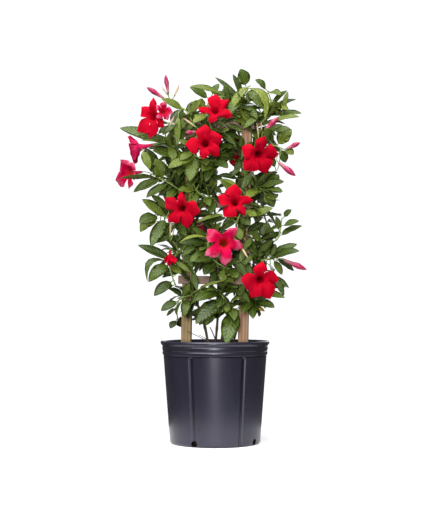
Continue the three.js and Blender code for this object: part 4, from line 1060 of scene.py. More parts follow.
@dataclass
class Pot:
    """The nursery pot: tapered wall with six pressed flutes, three bands at the top and drain holes at the foot."""

    finish: Material
    height: float = 245
    lip: float = 132
    band: float = 127.4
    shoulder: float = 124.2
    shoulder_height: float = 209
    foot: float = 108.6
    foot_edge: float = 4
    wall: float = 2.2
    floor: float = 3
    liner_top: float = 22
    flutes: int = 6
    flute_angle: float = -27.3
    flute_width: float = 15
    flute_floor: float = 3.6
    flute_depth: float = 3.1
    flute_columns: tuple[float, ...] = (0, 1.0, 1.9, 2.8, 3.6, 4.4, 5.2, 6.0, 6.8, 7.5, 8.3)
    closest: float = 0.8
    drains: tuple[float, ...] = (-26.5, 58.5, 151, 241)
    drain_radius: float = 8
    drain_height: float = 8
    drain_sides: int = 24
    columns: int = 120

    def inner(self, height: float) -> float:
        """Give the wall's inner radius at a height."""
        slope = (self.shoulder - self.foot) / (self.shoulder_height - self.foot_edge)
        return self.shoulder - self.wall - slope * (self.shoulder_height + self.liner_top - height)

    def profile(self) -> list[Pair]:
        """Trace the wall from the middle of the underside, round the lip, to the middle of the floor.

        Returns:
            The radius and height of each point, in millimetres.
        """
        foot, shoulder, band, lip, step = self.foot, self.shoulder, self.band, self.lip, self.shoulder_height
        wall = [(mix(foot, shoulder, share), mix(self.foot_edge, step, share), 0.0)
                for share in (0.04, 0.2, 0.4, 0.6, 0.8, 0.978, 0.984, 0.992)]
        return rounded_profile([
            (0, 0, 0), (foot - 14, 0, 0), (foot - 4.5, 0, 1.4), (foot, self.foot_edge, 2), *wall, (shoulder, step, 0),
            (shoulder - 1.2, step + 1.2, 0.5), (band - 1.6, step + 2.8, 1.8), (band - 0.5, step + 9.2, 3),
            (band - 2.3, step + 11.8, 0.7), (band - 0.6, step + 13.8, 1.8), (band, step + 20.8, 3),
            (band - 1.5, step + 23.6, 0.7), (band + 1, step + 25.8, 1.8), (lip, step + 31.5, 2.4),
            (lip - 3, self.height, 1.6), (lip - 6.5, self.height - 1.5, 1.6),
            (shoulder - self.wall, step + self.liner_top, 4), (self.inner(self.floor), self.floor, 2),
            (0, self.floor, 0)])

    def angles(self) -> list[float]:
        """List the columns' angles, closer together at the flutes.

        Returns:
            The angles, in degrees.
        """
        plain = [360 * index / self.columns for index in range(self.columns)]
        close = []
        for flute in range(self.flutes):
            middle = self.flute_angle + 360 * flute / self.flutes
            for across in self.flute_columns:
                turn = degrees(across / self.shoulder)
                close += [(middle - turn) % 360, (middle + turn) % 360] if across else [middle % 360]
        kept = [angle for angle in plain
                if all(abs((angle - other + 180) % 360 - 180) > self.closest for other in close)]
        return sorted(kept + close)

    def relief(self, angle: float, radius: float, height: float) -> float:
        """Give how far a flute presses the wall in.

        Args:
            angle: Degrees round the pot.
            radius: The wall's radius.
            height: The height.

        Returns:
            Millimetres, below 0 where the wall goes in.
        """
        turns = (angle - self.flute_angle - 360 * flute / self.flutes for flute in range(self.flutes))
        reach = min(abs((turn + 180) % 360 - 180) for turn in turns)
        across = radians(reach) * radius
        dip = 1 - smooth(self.flute_floor / 2, self.flute_width / 2, across)
        ends = 1 - smooth(self.shoulder_height - 3.5, self.shoulder_height - 0.5, height)
        return -self.flute_depth * dip * ends * smooth(0, 1.5, height)

    def shell(self) -> Object:
        """Turn the profile into a closed wall, with dust and painted groove shade on its outside.

        Returns:
            The pot without its drain holes.
        """
        profile, angles = self.profile(), self.angles()
        outside = profile.index(max(profile, key=lambda point: point[1]))
        grooves = [self.shoulder_height + rise for rise in (1, 12, 24)]
        points, rings, dust, dark = [], [], [], []
        for row, (radius, height) in enumerate(profile):
            outer = row <= outside and radius > 0
            # painted shade: dark along the three band grooves and, below, on the flute floors
            groove = 0.9 * max(1 - smooth(0, 3.4, abs(height - level)) for level in grooves) if outer else 0.0
            ring = angles if radius else [0.0]
            for angle in ring:
                lift = self.relief(angle, radius, height) if outer else 0.0
                turn, reach = radians(angle), (radius + lift) * MM
                points.append(Vector((reach * sin(turn), -reach * cos(turn), height * MM)))
                dark.append(max(groove, min(-lift / self.flute_depth, 1.0) ** 2 * 0.6))
            dust += [max(0.16 * (1 - smooth(0, 20, height)), 0.06) if outer else 0.2] * len(ring)
            rings.append(range(len(points) - len(ring), len(points)))
        return mesh_object("nursery_pot", points, loft(rings, inward=True), {"dust": dust, "groove": dark})

    def drill(self) -> Object:
        """Make the plugs that cut the drain holes.

        Returns:
            The plugs, as one object.
        """
        points, faces = [], []
        turns = [2 * pi * side / self.drain_sides for side in range(self.drain_sides)]
        for drain in self.drains:
            out = Vector((sin(radians(drain)), -cos(radians(drain)), 0))
            rings = []
            for reach in (self.foot - 16, self.foot + 12):
                for turn in turns:
                    spot = out * reach + UP.cross(out) * (self.drain_radius * cos(turn))
                    points.append((spot + UP * (self.drain_height + self.drain_radius * sin(turn))) * MM)
                rings.append(range(len(points) - len(turns), len(points)))
            faces += [*loft(rings, inward=True), tuple(rings[0])[::-1], tuple(rings[1])]
        made = mesh_object("drain_drill", points, faces)
        turned = bmesh.new()
        turned.from_mesh(made.data)
        bmesh.ops.recalc_face_normals(turned, faces=turned.faces)
        turned.to_mesh(made.data)
        turned.free()
        return made

    def build(self) -> None:
        """Make the pot with its drain holes cut."""
        shell, drill = self.shell(), self.drill()
        cut = shell.modifiers.new("drain_holes", "BOOLEAN")
        cut.operation, cut.solver, cut.object = "DIFFERENCE", "EXACT", drill
        pot = settle("nursery_pot", shell)
        remove(drill)
        dress(pot, "pot_plastic", ["pot"], self.finish, crease=38)


class ChipTree(GrowthTree):
    """Scatters flattened chips over the upward faces of the soil."""

    def __init__(self, material: Material) -> None:
        """Build the tree.

        Args:
            material: The chips' material.
        """
        super().__init__("soil_chips", {
            "Density": 9000.0, "Smallest": 0.8 * MM, "Largest": 3.0 * MM, "Seed": 7, "Material": material})
        normal = self.node("ShaderNodeSeparateXYZ", {0: self.out("GeometryNodeInputNormal")}).outputs[2]
        scatter = self.out("GeometryNodeDistributePointsOnFaces", {
            "Mesh": self.size("Geometry"), "Density": self.size("Density"), "Seed": self.size("Seed"),
            "Selection": self.out("FunctionNodeCompare", {"A": normal, "B": 0.8}, operation="GREATER_THAN")})
        length = self.random(self.size("Smallest"), self.size("Largest"), 1)
        shape = self.scaled(self.combine(1.0, self.random(0.35, 0.9, 2), self.random(0.25, 0.7, 3)), length)
        turn = self.combine(self.random(-0.7, 0.7, 4), self.random(-0.7, 0.7, 5), self.random(0.0, 6.28, 6))
        chips = self.out("GeometryNodeInstanceOnPoints", {
            "Points": scatter, "Instance": self.out("GeometryNodeMeshIcoSphere", {"Radius": 1.0, "Subdivisions": 1}),
            "Rotation": turn, "Scale": shape})
        tone = {"Geometry": chips, "Name": "tone", "Value": self.math("POWER", self.random(0.0, 1.0, 7), 3.0)}
        self.close(self.out("GeometryNodeStoreNamedAttribute", tone, data_type="FLOAT", domain="INSTANCE"))


@dataclass
class Soil:
    """The potting mix: an uneven mound with loose chips on it."""

    finish: Material
    pot: Pot
    edge: float = 222
    slope: Pair = (92, 225.5)
    hump: Pair = (56, 228)
    middle: float = 232
    gap: float = 0.5
    hollow: float = 15
    lump: float = 1.5
    lump_scale: float = 0.045
    rings: int = 26
    columns: int = 96

    def height(self, x: float, y: float) -> float:
        """Give the mound's height at a place, in millimetres.

        Args:
            x: Millimetres to the right of the pot's axis.
            y: Millimetres behind it.

        Returns:
            The height.
        """
        radius = hypot(x, y)
        rim = self.pot.inner(self.edge)
        knots = [0, self.hump[0], self.slope[0], rim]
        base = float(np.interp(radius, knots, [self.middle, self.hump[1], self.slope[1], self.edge]))
        lumps = noise.fractal(Vector((x, y, 3)) * self.lump_scale, 0.9, 2.1, 4) * self.lump
        return base + lumps * (1 - smooth(rim - 6, rim, radius) * 0.6)

    def build(self) -> None:
        """Make the mound and its chips."""
        rim, floor = self.pot.inner(self.edge) - self.gap, self.pot.floor + self.gap
        wall = ((0.05, self.gap), (0.5, self.gap), (0.88, self.gap), (0.9, self.hollow), (1.0, self.hollow))
        rows = [(rim * (index / self.rings) ** 0.9, None) for index in range(self.rings + 1)]
        rows += [(self.pot.inner(mix(self.edge, floor, share)) - inset, mix(self.edge - 6, floor, share))
                 for share, inset in wall]
        points, rings = [], []
        for radius, level in [*rows, (0.0, floor)]:
            start = len(points)
            for column in range(self.columns if radius else 1):
                turn = 2 * pi * column / self.columns
                x, y = radius * sin(turn), -radius * cos(turn)
                points.append(Vector((x, y, self.height(x, y) if level is None else level)) * MM)
            rings.append(range(start, len(points)))
        mound = mesh_object("potting_soil", points, loft(rings), {"tone": [0.0] * len(points)})
        seed = place_object("chip_ground", mound.data.copy())
        dress(mound, "potting_soil", ["soil"], self.finish, crease=180)
        dress(ChipTree(self.finish).grow(seed, "soil_chips"), "potting_soil", ["soil"])


# Trellis


@dataclass
class Trellis:
    """The ladder trellis: two posts, three rungs nailed across their fronts, and the nails."""

    wood: dict[str, Material]
    steel: Material
    x: float = -5.6
    y: float = 8
    lean: float = 1.15
    yaw: float = -8.5
    span: float = 139
    post: Pair = (24, 22)
    foot: float = 75
    top: float = 795
    rung_length: float = 178
    rung: Pair = (20, 12)
    gap: float = 0.3
    bevel: float = 2.0
    dent: float = 0.28
    worn_end: float = 0.8
    soil: float = 232
    nail: tuple[Pair, ...] = ((0, 0.4), (1.2, 0.35), (2.3, 0.1), (3.0, -0.35), (3.2, -0.7), (3.0, -1.0), (1.4, -1.1),
                              (1.4, -6), (0, -6))
    nail_sides: int = 12
    levels: dict[str, float] = field(default_factory=lambda: {"low": 390, "middle": 575, "top": 766})

    @property
    def frame(self) -> Matrix:
        """The trellis' own frame in the part's, in millimetres."""
        turn = Matrix.Rotation(radians(self.lean), 4, "Y") @ Matrix.Rotation(radians(self.yaw), 4, "Z")
        return Matrix.Translation((self.x, self.y, 0)) @ turn

    @property
    def rung_face(self) -> float:
        """The depth of the rungs' front faces."""
        return -self.post[1] / 2 - self.gap - self.rung[1]

    def place(self, x: float, y: float, z: float) -> Vector:
        """Give a point of the trellis' frame in the part's frame, in metres."""
        return self.frame @ Vector((x, y, z)) * MM

    def section(self, width: float, depth: float) -> list[Triple]:
        """Trace a bar's section with rounded corners.

        Args:
            width: Its size along the first axis.
            depth: Its size along the second.

        Returns:
            Its points, with how worn each is: 1 on a corner, 0 on a flat face.
        """
        points, arcs = [], []
        for corner, (x, y) in enumerate(((1, -1), (1, 1), (-1, 1), (-1, -1))):
            middle = Vector((x * (width / 2 - self.bevel), y * (depth / 2 - self.bevel)))
            turns = [radians(90 * corner - 90 + 30 * step) for step in range(4)]
            arcs.append([middle + Vector((cos(turn), sin(turn))) * self.bevel for turn in turns])
        for arc, after in zip(arcs, arcs[1:] + arcs[:1], strict=True):
            points += [(*point, 1.0) for point in arc]
            points += [(*arc[-1].lerp(after[0], step / 4), 0.12) for step in range(1, 4)]
        return points

    def bar(self, name: str, section: Pair, length: float, place: Callable[[float, float, float], Vector], seed: int,
            damp_below: float = 0.0) -> Object:
        """Make a sawn bar with eased edges and faces that aren't quite flat.

        Args:
            name: The piece's name.
            section: Its width and depth.
            length: Its length.
            place: Turns section coordinates and a place along the bar into a point.
            seed: Moves its grain and unevenness.
            damp_below: Places along the bar below this are dark with damp.

        Returns:
            The bar.
        """
        outline = self.section(*section)
        inner = [0.0, 0.25, self.worn_end]
        stations = inner + [float(value) for value in np.linspace(3, length - 3, max(8, int(length / 12)))]
        stations += [length - value for value in reversed(inner)]
        points, rings = [], []
        attributes: dict[str, list] = {"grain_place": [], "wear": [], "damp": []}
        for along in stations:
            end = min(along, length - along)
            ease = 0.9 * (1 - min(end / self.worn_end, 1.0)) ** 2
            for x, y, wear in outline:
                dent = self.dent * noise.noise(Vector((x * 0.06, y * 0.06 + seed * 9, along * 0.018))) - 0.16
                pull = 1 + (dent - ease) / max(abs(x), abs(y))
                points.append(place(x * pull, y * pull, along))
                attributes["grain_place"].append(Vector((x + seed * 37, y + seed * 61, along)) * MM)
                chipped = noise.noise(Vector((x, y, along * 0.05 + seed * 5)))
                attributes["wear"].append(max(wear * (0.55 + 0.6 * chipped), 0.9 * (1 - smooth(0, 3, end))))
                attributes["damp"].append(1 - smooth(damp_below - 4, damp_below + 14, along) if damp_below else 0.0)
            rings.append(range(len(points) - len(outline), len(points)))
        faces = [*loft(rings, inward=True), tuple(rings[0])[::-1], tuple(rings[-1])]
        return mesh_object(name, points, faces, attributes)

    def build(self) -> None:
        """Make the posts, rungs and nails."""
        for seed, (side, label) in enumerate(((-1, "left"), (1, "right"))):
            middle = side * self.span / 2
            post = self.bar(f"post_{label}", self.post, self.top - self.foot,
                            lambda x, y, along, middle=middle: self.place(x + middle, y, along + self.foot),
                            seed + 1, damp_below=self.soil - self.foot)
            dress(post, "trellis_wood", [f"trellis_post_{label}"], self.wood[label], crease=70)
        depth = self.rung_face + self.rung[1] / 2
        for seed, (label, level) in enumerate(self.levels.items()):
            rung = self.bar(
                f"ladder_rung_{label}", self.rung[::-1], self.rung_length,
                lambda x, y, along, level=level: self.place(along - self.rung_length / 2, x + depth, y + level),
                seed + 4)
            dress(rung, "trellis_wood", [f"rung_{label}"], self.wood["rung"], crease=70)
        self.nails()

    def nails(self) -> None:
        """Make the nail heads: one domed pattern, set at each joint."""
        turn = self.frame.to_3x3()
        points, rings = [], []
        for radius, out in self.nail:
            start = len(points)
            for side in range(self.nail_sides if radius else 1):
                angle = 2 * pi * side / self.nail_sides
                points.append(turn @ Vector((radius * cos(angle), -out, radius * sin(angle))) * MM)
            rings.append(range(start, len(points)))
        pattern = mesh_object("nail_pattern", points, loft(rings))
        spots = [self.place(side * self.span / 2, self.rung_face - self.gap - 0.7, level)
                 for level in self.levels.values() for side in (-1, 1)]
        tree = GrowthTree("nail_heads", {"Pattern": pattern, "Material": self.steel})
        tree.close(tree.patterns())
        heads = tree.grow(mesh_object("nail_spots", spots, ()), "nail_heads")
        remove(pattern)
        dress(heads, "nail_steel", [f"nail_{number}" for number in range(1, 7)], crease=40)


# Vines


@dataclass
class Vines:
    """The three woody vines: two twine round the posts, one weaves between the rungs."""

    finish: Material
    trellis: Trellis
    root: float = 205
    top: float = 800
    girth: Pair = (3.2, 2.1)
    coil: float = 22
    pitch: float = 188
    knot_spacing: float = 47
    knot_width: float = 5
    soil: float = 222
    stub: Pair = (0.75, 1.0)
    step: float = 5
    samples: int = 400
    stubs: tuple[tuple[str, Pair, Pair, float, float], ...] = (
        ("right", (239, 325), (234, 340), -16, 2.6), ("left", (187, 331.5), (206, 340.5), -24, 0.9),
        ("middle", (210, 327), (215.5, 340), -20, 1.5), ("left", (199, 335), (209, 341), -40, 0.8))

    def stub_paths(self, vine: str) -> list[Path]:
        """Give the lines of the cut twigs that lean beside a vine's foot.

        Args:
            vine: The vine's name.

        Returns:
            A line for each twig.
        """
        paths = []
        for name, top, foot, depth, girth in self.stubs:
            if name == vine:
                start, end = PICTURE.at(*top, depth), PICTURE.at(*foot, depth - 6)
                line = [*bezier(start, start.lerp(end, 0.5) + UP * 3 * MM, end, 6), Vector((*end.xy, self.soil * MM))]
                paths.append(Path(line, [girth * mix(*self.stub, i / 7) * MM for i in range(8)], [1.0] * 8))
        return paths

    def curve(self, name: str) -> Spline:
        """Give a vine's middle line.

        Args:
            name: The vine's name.

        Returns:
            The line.
        """
        place = self.trellis.place
        if name == "middle":
            low, middle = self.trellis.levels["low"], self.trellis.levels["middle"]
            points, level = [], self.root
            while level < self.top + 30:
                beat = cos(pi * (level - low) / (middle - low))
                points.append(place(11 * sin((level - 230) / 85), -13 - self.coil * beat, level))
                level += 30
            return Spline(tuple(points))
        side = -1 if name == "left" else 1
        points = [place(side * x, y, z) for x, y, z in ((13, 2, 205), (20, -6, 262), (34, -5, 307))]
        inside = self.trellis.levels["low"] - self.pitch / 4
        level = inside
        while level <= self.top:
            turn = 2 * pi * (level - inside) / self.pitch
            reach = side * (self.trellis.span / 2 - self.coil * cos(turn))
            points.append(place(reach, self.coil * sin(turn), level))
            level += self.pitch / 8
        return Spline(tuple(points))

    def point(self, name: str, height: float) -> Vector:
        """Give the vine's point nearest to a height in millimetres."""
        return min(self.curve(name).spaced(self.samples), key=lambda point: abs(point.z - height * MM))

    def build(self) -> None:
        """Make each vine as a gnarled tube with knots at even steps along it, and its cut twigs."""
        tree = TubeTree("vine_tube", self.finish, 10, 0.5, 95.0)
        for name in ("left", "middle", "right"):
            points = self.curve(name).stepped(self.step * MM)
            girths = []
            for index in range(len(points)):
                away = (index * self.step) % self.knot_spacing - self.knot_spacing / 2
                knot = exp(-((away / self.knot_width) ** 2))
                girths.append(mix(*self.girth, index / (len(points) - 1)) * (1 + 0.22 * knot) * MM)
            source = path_mesh("vine_path", [Path(points, girths, [1.0] * len(points)), *self.stub_paths(name)])
            dress(tree.grow(source, f"woody_vine_{name}"), "vine_bark", [f"vine_{name}"])


# Foliage


@dataclass
class Leaf:
    """A leaf: where its petiole starts, the knee where the blade starts, and the bend of its midrib."""

    root: Vector
    knee: Vector
    bow: Vector
    tip: Vector
    side: Vector
    width: float
    tone: float = -1.0
    stout: float = 1.0

    def spots(self) -> list[Vector]:
        """Give points of the blade that stand for where it is.

        Returns:
            Points along its midrib and beside it.
        """
        places = bezier(self.knee, self.bow, self.tip, 5)
        out = []
        for place, share in zip(places[1:], (0.75, 1.0, 0.95, 0.6)):
            reach = self.side * (self.width * 0.5 * share) * 0.8
            out += [place, place + reach, place - reach]
        return [*out, places[5]]


@dataclass(frozen=True)
class LeafReader:
    """Finds the leaves of a packed shoot, from the rings of four corners that each of its blades has."""

    thinnest: float = 1.2 * MM
    thickest: float = 1.6 * MM
    base: float = 2.6 * MM
    petiole: float = 9 * MM
    rings: dict[int, tuple[Pair, ...]] = field(default_factory=lambda: {
        3: ((0.12, 0.62), (0.42, 1.0), (0.76, 0.72)),
        2: ((0.2, 0.8), (0.62, 0.92)),
    })

    def first_ring(self, tip: bmesh.types.BMVert) -> list[bmesh.types.BMVert]:
        """Give the four corners round a tip in order, or nothing where there is no blade.

        Args:
            tip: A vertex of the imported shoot.

        Returns:
            The corners.
        """
        if len(tip.link_faces) != 4 or len(tip.link_edges) != 4:
            return []
        order = [tip.link_edges[0].other_vert(tip)]
        while len(order) < 4:
            step = [corner for face in tip.link_faces if order[-1] in face.verts
                    for corner in face.verts if corner is not tip and corner not in order]
            if not step:
                return []
            order.append(step[0])
        spans = [(order[0].co - order[2].co).length, (order[1].co - order[3].co).length]
        return order if self.thinnest < min(spans) < self.thickest else []

    def read(self, node: Object) -> list[Leaf]:
        """Read a shoot's leaves.

        Args:
            node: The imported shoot.

        Returns:
            Its leaves.
        """
        body = bmesh.new()
        body.from_mesh(node.data)
        bmesh.ops.remove_doubles(body, verts=body.verts, dist=1e-6)
        leaves = []
        for tip in body.verts:
            ring = self.first_ring(tip)
            rings, seen = [], {tip}
            while len(ring) == 4:
                corners = [corner.co.copy() for corner in ring]
                rings.append(corners)
                seen.update(ring)
                least = min((a - b).length for i, a in enumerate(corners) for b in corners[i + 1:])
                if abs(least - self.base) < 0.2 * MM or len(rings) > 3:
                    break
                ring = list({edge.other_vert(corner) for corner in ring for edge in corner.link_edges} - seen)
            if len(rings) in self.rings:
                leaves.append(self.shape(rings[::-1], tip.co.copy()))
        body.free()
        return leaves

    def shape(self, rings: list[list[Vector]], tip: Vector) -> Leaf:
        """Work out a leaf from its rings, from the root to the tip.

        Args:
            rings: The corners of each ring.
            tip: The leaf's tip.

        Returns:
            The leaf.
        """
        table = self.rings[len(rings)]
        centres, sides, widths = [], [], []
        pairs = [(a, b) for a in range(4) for b in range(a + 1, 4)]
        for corners, (_, share) in zip(rings, table, strict=True):
            thin = min(pairs, key=lambda pair: (corners[pair[0]] - corners[pair[1]]).length)
            left, right = (corners[index] for index in range(4) if index not in thin)
            centre = (corners[thin[0]] + corners[thin[1]]) / 2
            centres.append(centre)
            sides.append((left - right, (left + right) / 2 - centre))
            widths.append((left - right).length / share)
        system = np.array([[(1 - t) ** 2, 2 * t * (1 - t)] for t, _ in table])
        wanted = np.array([tuple(centre - tip * t * t) for centre, (t, _) in zip(centres, table, strict=True)])
        solved, *_ = np.linalg.lstsq(system, wanted, rcond=None)
        knee, bow = Vector(solved[0]), Vector(solved[1])
        along = (tip - knee).normalized()
        side = Vector()
        for across, normal in sides:
            side += across.normalized() * (1 if across.dot(along.cross(normal)) > 0 else -1)
        side = (side - along * side.dot(along)).normalized()
        return Leaf(knee - along * self.petiole, knee, bow, tip, side, sum(widths) / len(widths))


class LeafTree(GrowthTree):
    """Sets a leaf pattern on each point and bends it to the point's knee, bow and tip."""

    def __init__(self, material: Material, pattern: Object) -> None:
        """Build the tree.

        Args:
            material: The leaves' material.
            pattern: The leaf that is set and bent.
        """
        super().__init__("leaf_growth", {
            "Pattern": pattern, "Fold": 0.1, "Ripple": 0.045, "Curl": 0.07, "Thickness": 1.0, "Material": material})
        real = self.out("GeometryNodeRealizeInstances", {"Geometry": self.patterns()})
        root, knee, bow, tip, side, skin = (
            self.attribute(name, "FLOAT_VECTOR") for name in ("root", "knee", "bow", "tip", "side", "skin"))
        along, flat, run, width, phase, stout = map(
            self.attribute, ("along", "flat", "run", "width", "phase", "stout"))
        rest = self.math("SUBTRACT", 1.0, along)
        centre = self.total(self.scaled(knee, self.times(rest, rest)), self.scaled(tip, self.times(along, along)),
                            self.scaled(bow, self.times(rest, along, 2.0)),
                            self.scaled(self.vector("SUBTRACT", root, knee), self.math("SUBTRACT", 1.0, run)))
        tangent = self.vector("NORMALIZE", self.total(self.scaled(self.vector("SUBTRACT", bow, knee), rest),
                                                      self.scaled(self.vector("SUBTRACT", tip, bow), along)))
        normal = self.vector("NORMALIZE", self.vector("CROSS_PRODUCT", side, tangent))
        body = self.scaled(skin, self.times(self.size("Thickness"), stout))
        body_side, _, body_up = self.node("ShaderNodeSeparateXYZ", {0: body}).outputs
        folded = self.times(self.math("SQRT", self.plus(self.times(flat, flat), 0.01)),
                            self.times(width, self.size("Fold")))
        beat = self.math("SINE", self.plus(self.times(along, 13.0), self.plus(phase, self.times(flat, 1.6))))
        ripple = self.times(beat, self.times(self.times(flat, flat), self.times(width, self.size("Ripple"))))
        curl = self.times(self.times(self.math("SINE", phase), self.size("Curl")), self.times(flat, along, width))
        lift = self.plus(folded, ripple, self.plus(curl, body_up))
        across = self.scaled(side, self.plus(self.times(flat, width, 0.5), body_side))
        place = self.total(centre, self.total(across, self.scaled(normal, lift)))
        self.close(self.out("GeometryNodeSetPosition", {"Geometry": real, "Position": place}))


@dataclass
class LeafMaker:
    """Makes leaves from one pattern blade."""

    material: Material
    outline: tuple[Pair, ...] = ((0.05, 0.36), (0.13, 0.66), (0.26, 0.9), (0.42, 1.0), (0.6, 0.93), (0.76, 0.72),
                                 (0.89, 0.4), (0.96, 0.16))
    ring: tuple[Pair, ...] = ((-1, 0.0), (-0.52, 1.0), (0, 1.0), (0.52, 1.0), (1, 0.0), (0, -1.0))

    def pattern(self) -> Object:
        """Make the pattern: a petiole and a blade whose points hold their places on a leaf, not in space.

        Returns:
            The pattern.
        """
        rows = [(0.0, 0.0, 0.0, 1.15), (0.0, 0.5, 0.0, 0.95), (0.0, 1.0, 0.04, 1.0)]
        rows += [(along, 1.0, share, 1.0) for along, share in self.outline]
        data, sides = [], len(self.ring)
        for along, run, share, stalk in rows:
            rounded = 1.0 if share < 0.1 else max(0.0, 0.5 - share)
            for lateral, up in self.ring:
                thin = mix(0.36, stalk, rounded)
                skin = Vector((lateral * stalk * rounded, 0, up * thin - 0.1 * (up == 0))) * MM
                data.append((along, run, lateral * share, skin, 1.0 if up >= 0 else 0.0))
        rings = [range(row * sides, (row + 1) * sides) for row in range(len(rows))]
        faces = loft([[len(data)], *rings, [len(data) + 1]])
        data += [(0.0, -0.08, 0.0, Vector(), 1.0), (1.0, 1.0, 0.0, Vector(), 1.0)]
        attributes = dict(zip(("along", "run", "flat", "skin", "top"), zip(*data), strict=True))
        spots = [Vector((index * MM, 0, 0)) for index in range(len(data))]
        return mesh_object("blade_pattern", spots, faces, attributes)

    def make(self, name: str, leaves: Sequence[Leaf], tree: LeafTree, seed: int) -> Object:
        """Make leaves as one object.

        Args:
            name: The object's name.
            leaves: The leaves.
            tree: The tree that bends the pattern.
            seed: Varies the ripples of the margins.

        Returns:
            The leaves.
        """
        attributes = {key: [getattr(leaf, key) for leaf in leaves] for key in (
            "root", "knee", "bow", "tip", "side", "width", "tone", "stout")}
        attributes["phase"] = [draw(seed, index, 5) * 6.28 for index in range(len(leaves))]
        grown = tree.grow(mesh_object(f"{name}_roots", [leaf.root for leaf in leaves], (), attributes), name)
        for label in {*attributes, "skin", "run"} - {"tone"}:
            grown.data.attributes.remove(grown.data.attributes[label])
        return grown


@dataclass(frozen=True)
class Shoot:
    """A shoot: its vine and height, its route and twigs in the picture, its flowers, buds and young buds."""

    vine: str
    start: float
    route: tuple[Triple, ...]
    twigs: tuple[tuple[Triple, ...], ...] = ()
    blooms: tuple[str, ...] = ()
    buds: tuple[str, ...] = ()
    spikes: tuple[tuple[Triple, Triple, float], ...] = ()


SHOOTS = {
    "top_left": Shoot(
        "left", 735, ((193, 127, -28), (189, 113, -38), (180, 106, -44), (169, 97.5, -49)),
        buds=("top_left_side", "top_left_tall"),
        spikes=(((174, 95, -48), (179, 83, -50), 3.0), ((167, 93, -46), (161, 85, -44), 2.3))),
    "left_upper": Shoot(
        "left", 668, ((182, 158, -30), (170, 146, -44), (165, 134, -46), (170, 122, -44)),
        blooms=("upper_left_red", "upper_left_pink", "side_pink_upper"),
        spikes=(((168, 128, -62), (174, 115, -64), 2.9),)),
    "left_middle": Shoot("left", 600, ((180, 190, -28), (168, 182, -42), (157, 177, -50)), blooms=("side_pink_lower",)),
    "left_centre": Shoot(
        "left", 535, ((180, 222, -28), (168, 218, -40), (157, 214, -46)),
        spikes=(((170, 238, -70), (171, 217, -84), 3.1),)),
    "left_low": Shoot(
        "left", 455, ((180, 252, -28), (170, 262, -38), (172, 276, -40), (176, 286, -38)), blooms=("hanging_red",)),
    "left_bottom": Shoot("left", 338, ((192, 296, -30), (182, 297, -36), (177, 306, -34), (178, 320, -24))),
    "top_middle": Shoot("middle", 775, ((234, 112, -22), (243, 98, -28), (247, 86, -32))),
    "top_front": Shoot(
        "middle", 722, ((213, 133, -38), (209, 120, -42), (207, 106, -38), (211, 95, -34)), blooms=("top_red",)),
    "front_upper": Shoot(
        "middle", 680, ((214, 160, -44), (202, 158, -52), (194, 154, -56), (192, 142, -58)),
        blooms=("high_red",), buds=("high_red",), spikes=(((197, 127, -66), (183, 117, -72), 3.0),)),
    "front_middle": Shoot("middle", 592, ((213, 198, -40), (203, 196, -50), (196, 190, -56)), blooms=("left_red",)),
    "front_right": Shoot("right", 590, ((244, 206, -36), (240, 214, -48), (236, 224, -54)), blooms=("middle_red",)),
    "front_low": Shoot(
        "middle", 492, ((212, 240, -44), (206, 246, -54), (214, 260, -58), (226, 268, -58)),
        blooms=("middle_pink",), spikes=(((238, 242, -92), (248, 258, -100), 3.4),)),
    "front_bottom": Shoot("middle", 372, ((222, 290, -46), (220, 298, -54), (229, 304, -56), (235, 310, -54))),
    "top_right": Shoot("right", 755, ((262, 122, -22), (270, 108, -28), (271, 98, -30), (268, 89, -32))),
    "right_upper": Shoot(
        "right", 700, ((260, 147, -30), (270, 145, -40), (279, 144, -46), (283, 148, -48)),
        blooms=("right_red",), buds=("right_tall", "right_short", "right_low"),
        spikes=(((259, 138, -56), (257, 121, -58), 2.1), ((262, 136, -44), (261.5, 120, -46), 2.0))),
    "right_middle": Shoot("right", 622, ((256, 186, -30), (264, 190, -40), (272, 192, -44))),
    "right_spray": Shoot("right", 500, ((260, 240, -28), (272, 243, -34), (279, 236, -36), (282, 218, -36))),
    "right_low": Shoot("right", 440, ((258, 262, -30), (267, 259, -40), (275, 257.5, -46)), buds=("low_right",)),
    "right_bottom": Shoot("right", 372, ((254, 292, -28), (250, 299, -38), (252, 306, -42)), blooms=("low_red",)),
    "back_top": Shoot(
        "middle", 750, ((222, 128, 36), (226, 114, 54), (236, 100, 60), (250, 92, 52)),
        (((214, 116, 66), (202, 108, 64), (192, 104, 54)), ((240, 120, 72), (256, 124, 66))), ("back_red",)),
    "back_left": Shoot(
        "left", 640, ((184, 168, 44), (178, 150, 60), (174, 130, 58)),
        (((170, 176, 66), (160, 190, 62), (158, 206, 54)), ((190, 176, 74), (196, 196, 78)))),
    "back_right": Shoot(
        "right", 560, ((254, 200, 44), (264, 184, 58), (270, 162, 56), (272, 142, 46)),
        (((262, 210, 64), (268, 230, 60), (266, 250, 50)), ((240, 194, 74), (228, 184, 78)))),
    "back_middle": Shoot(
        "middle", 470, ((216, 240, 40), (208, 226, 60), (206, 206, 66)),
        (((206, 256, 66), (194, 270, 62), (186, 290, 52)), ((228, 260, 72), (244, 276, 70), (252, 294, 56))),
        ("back_pink",)),
}


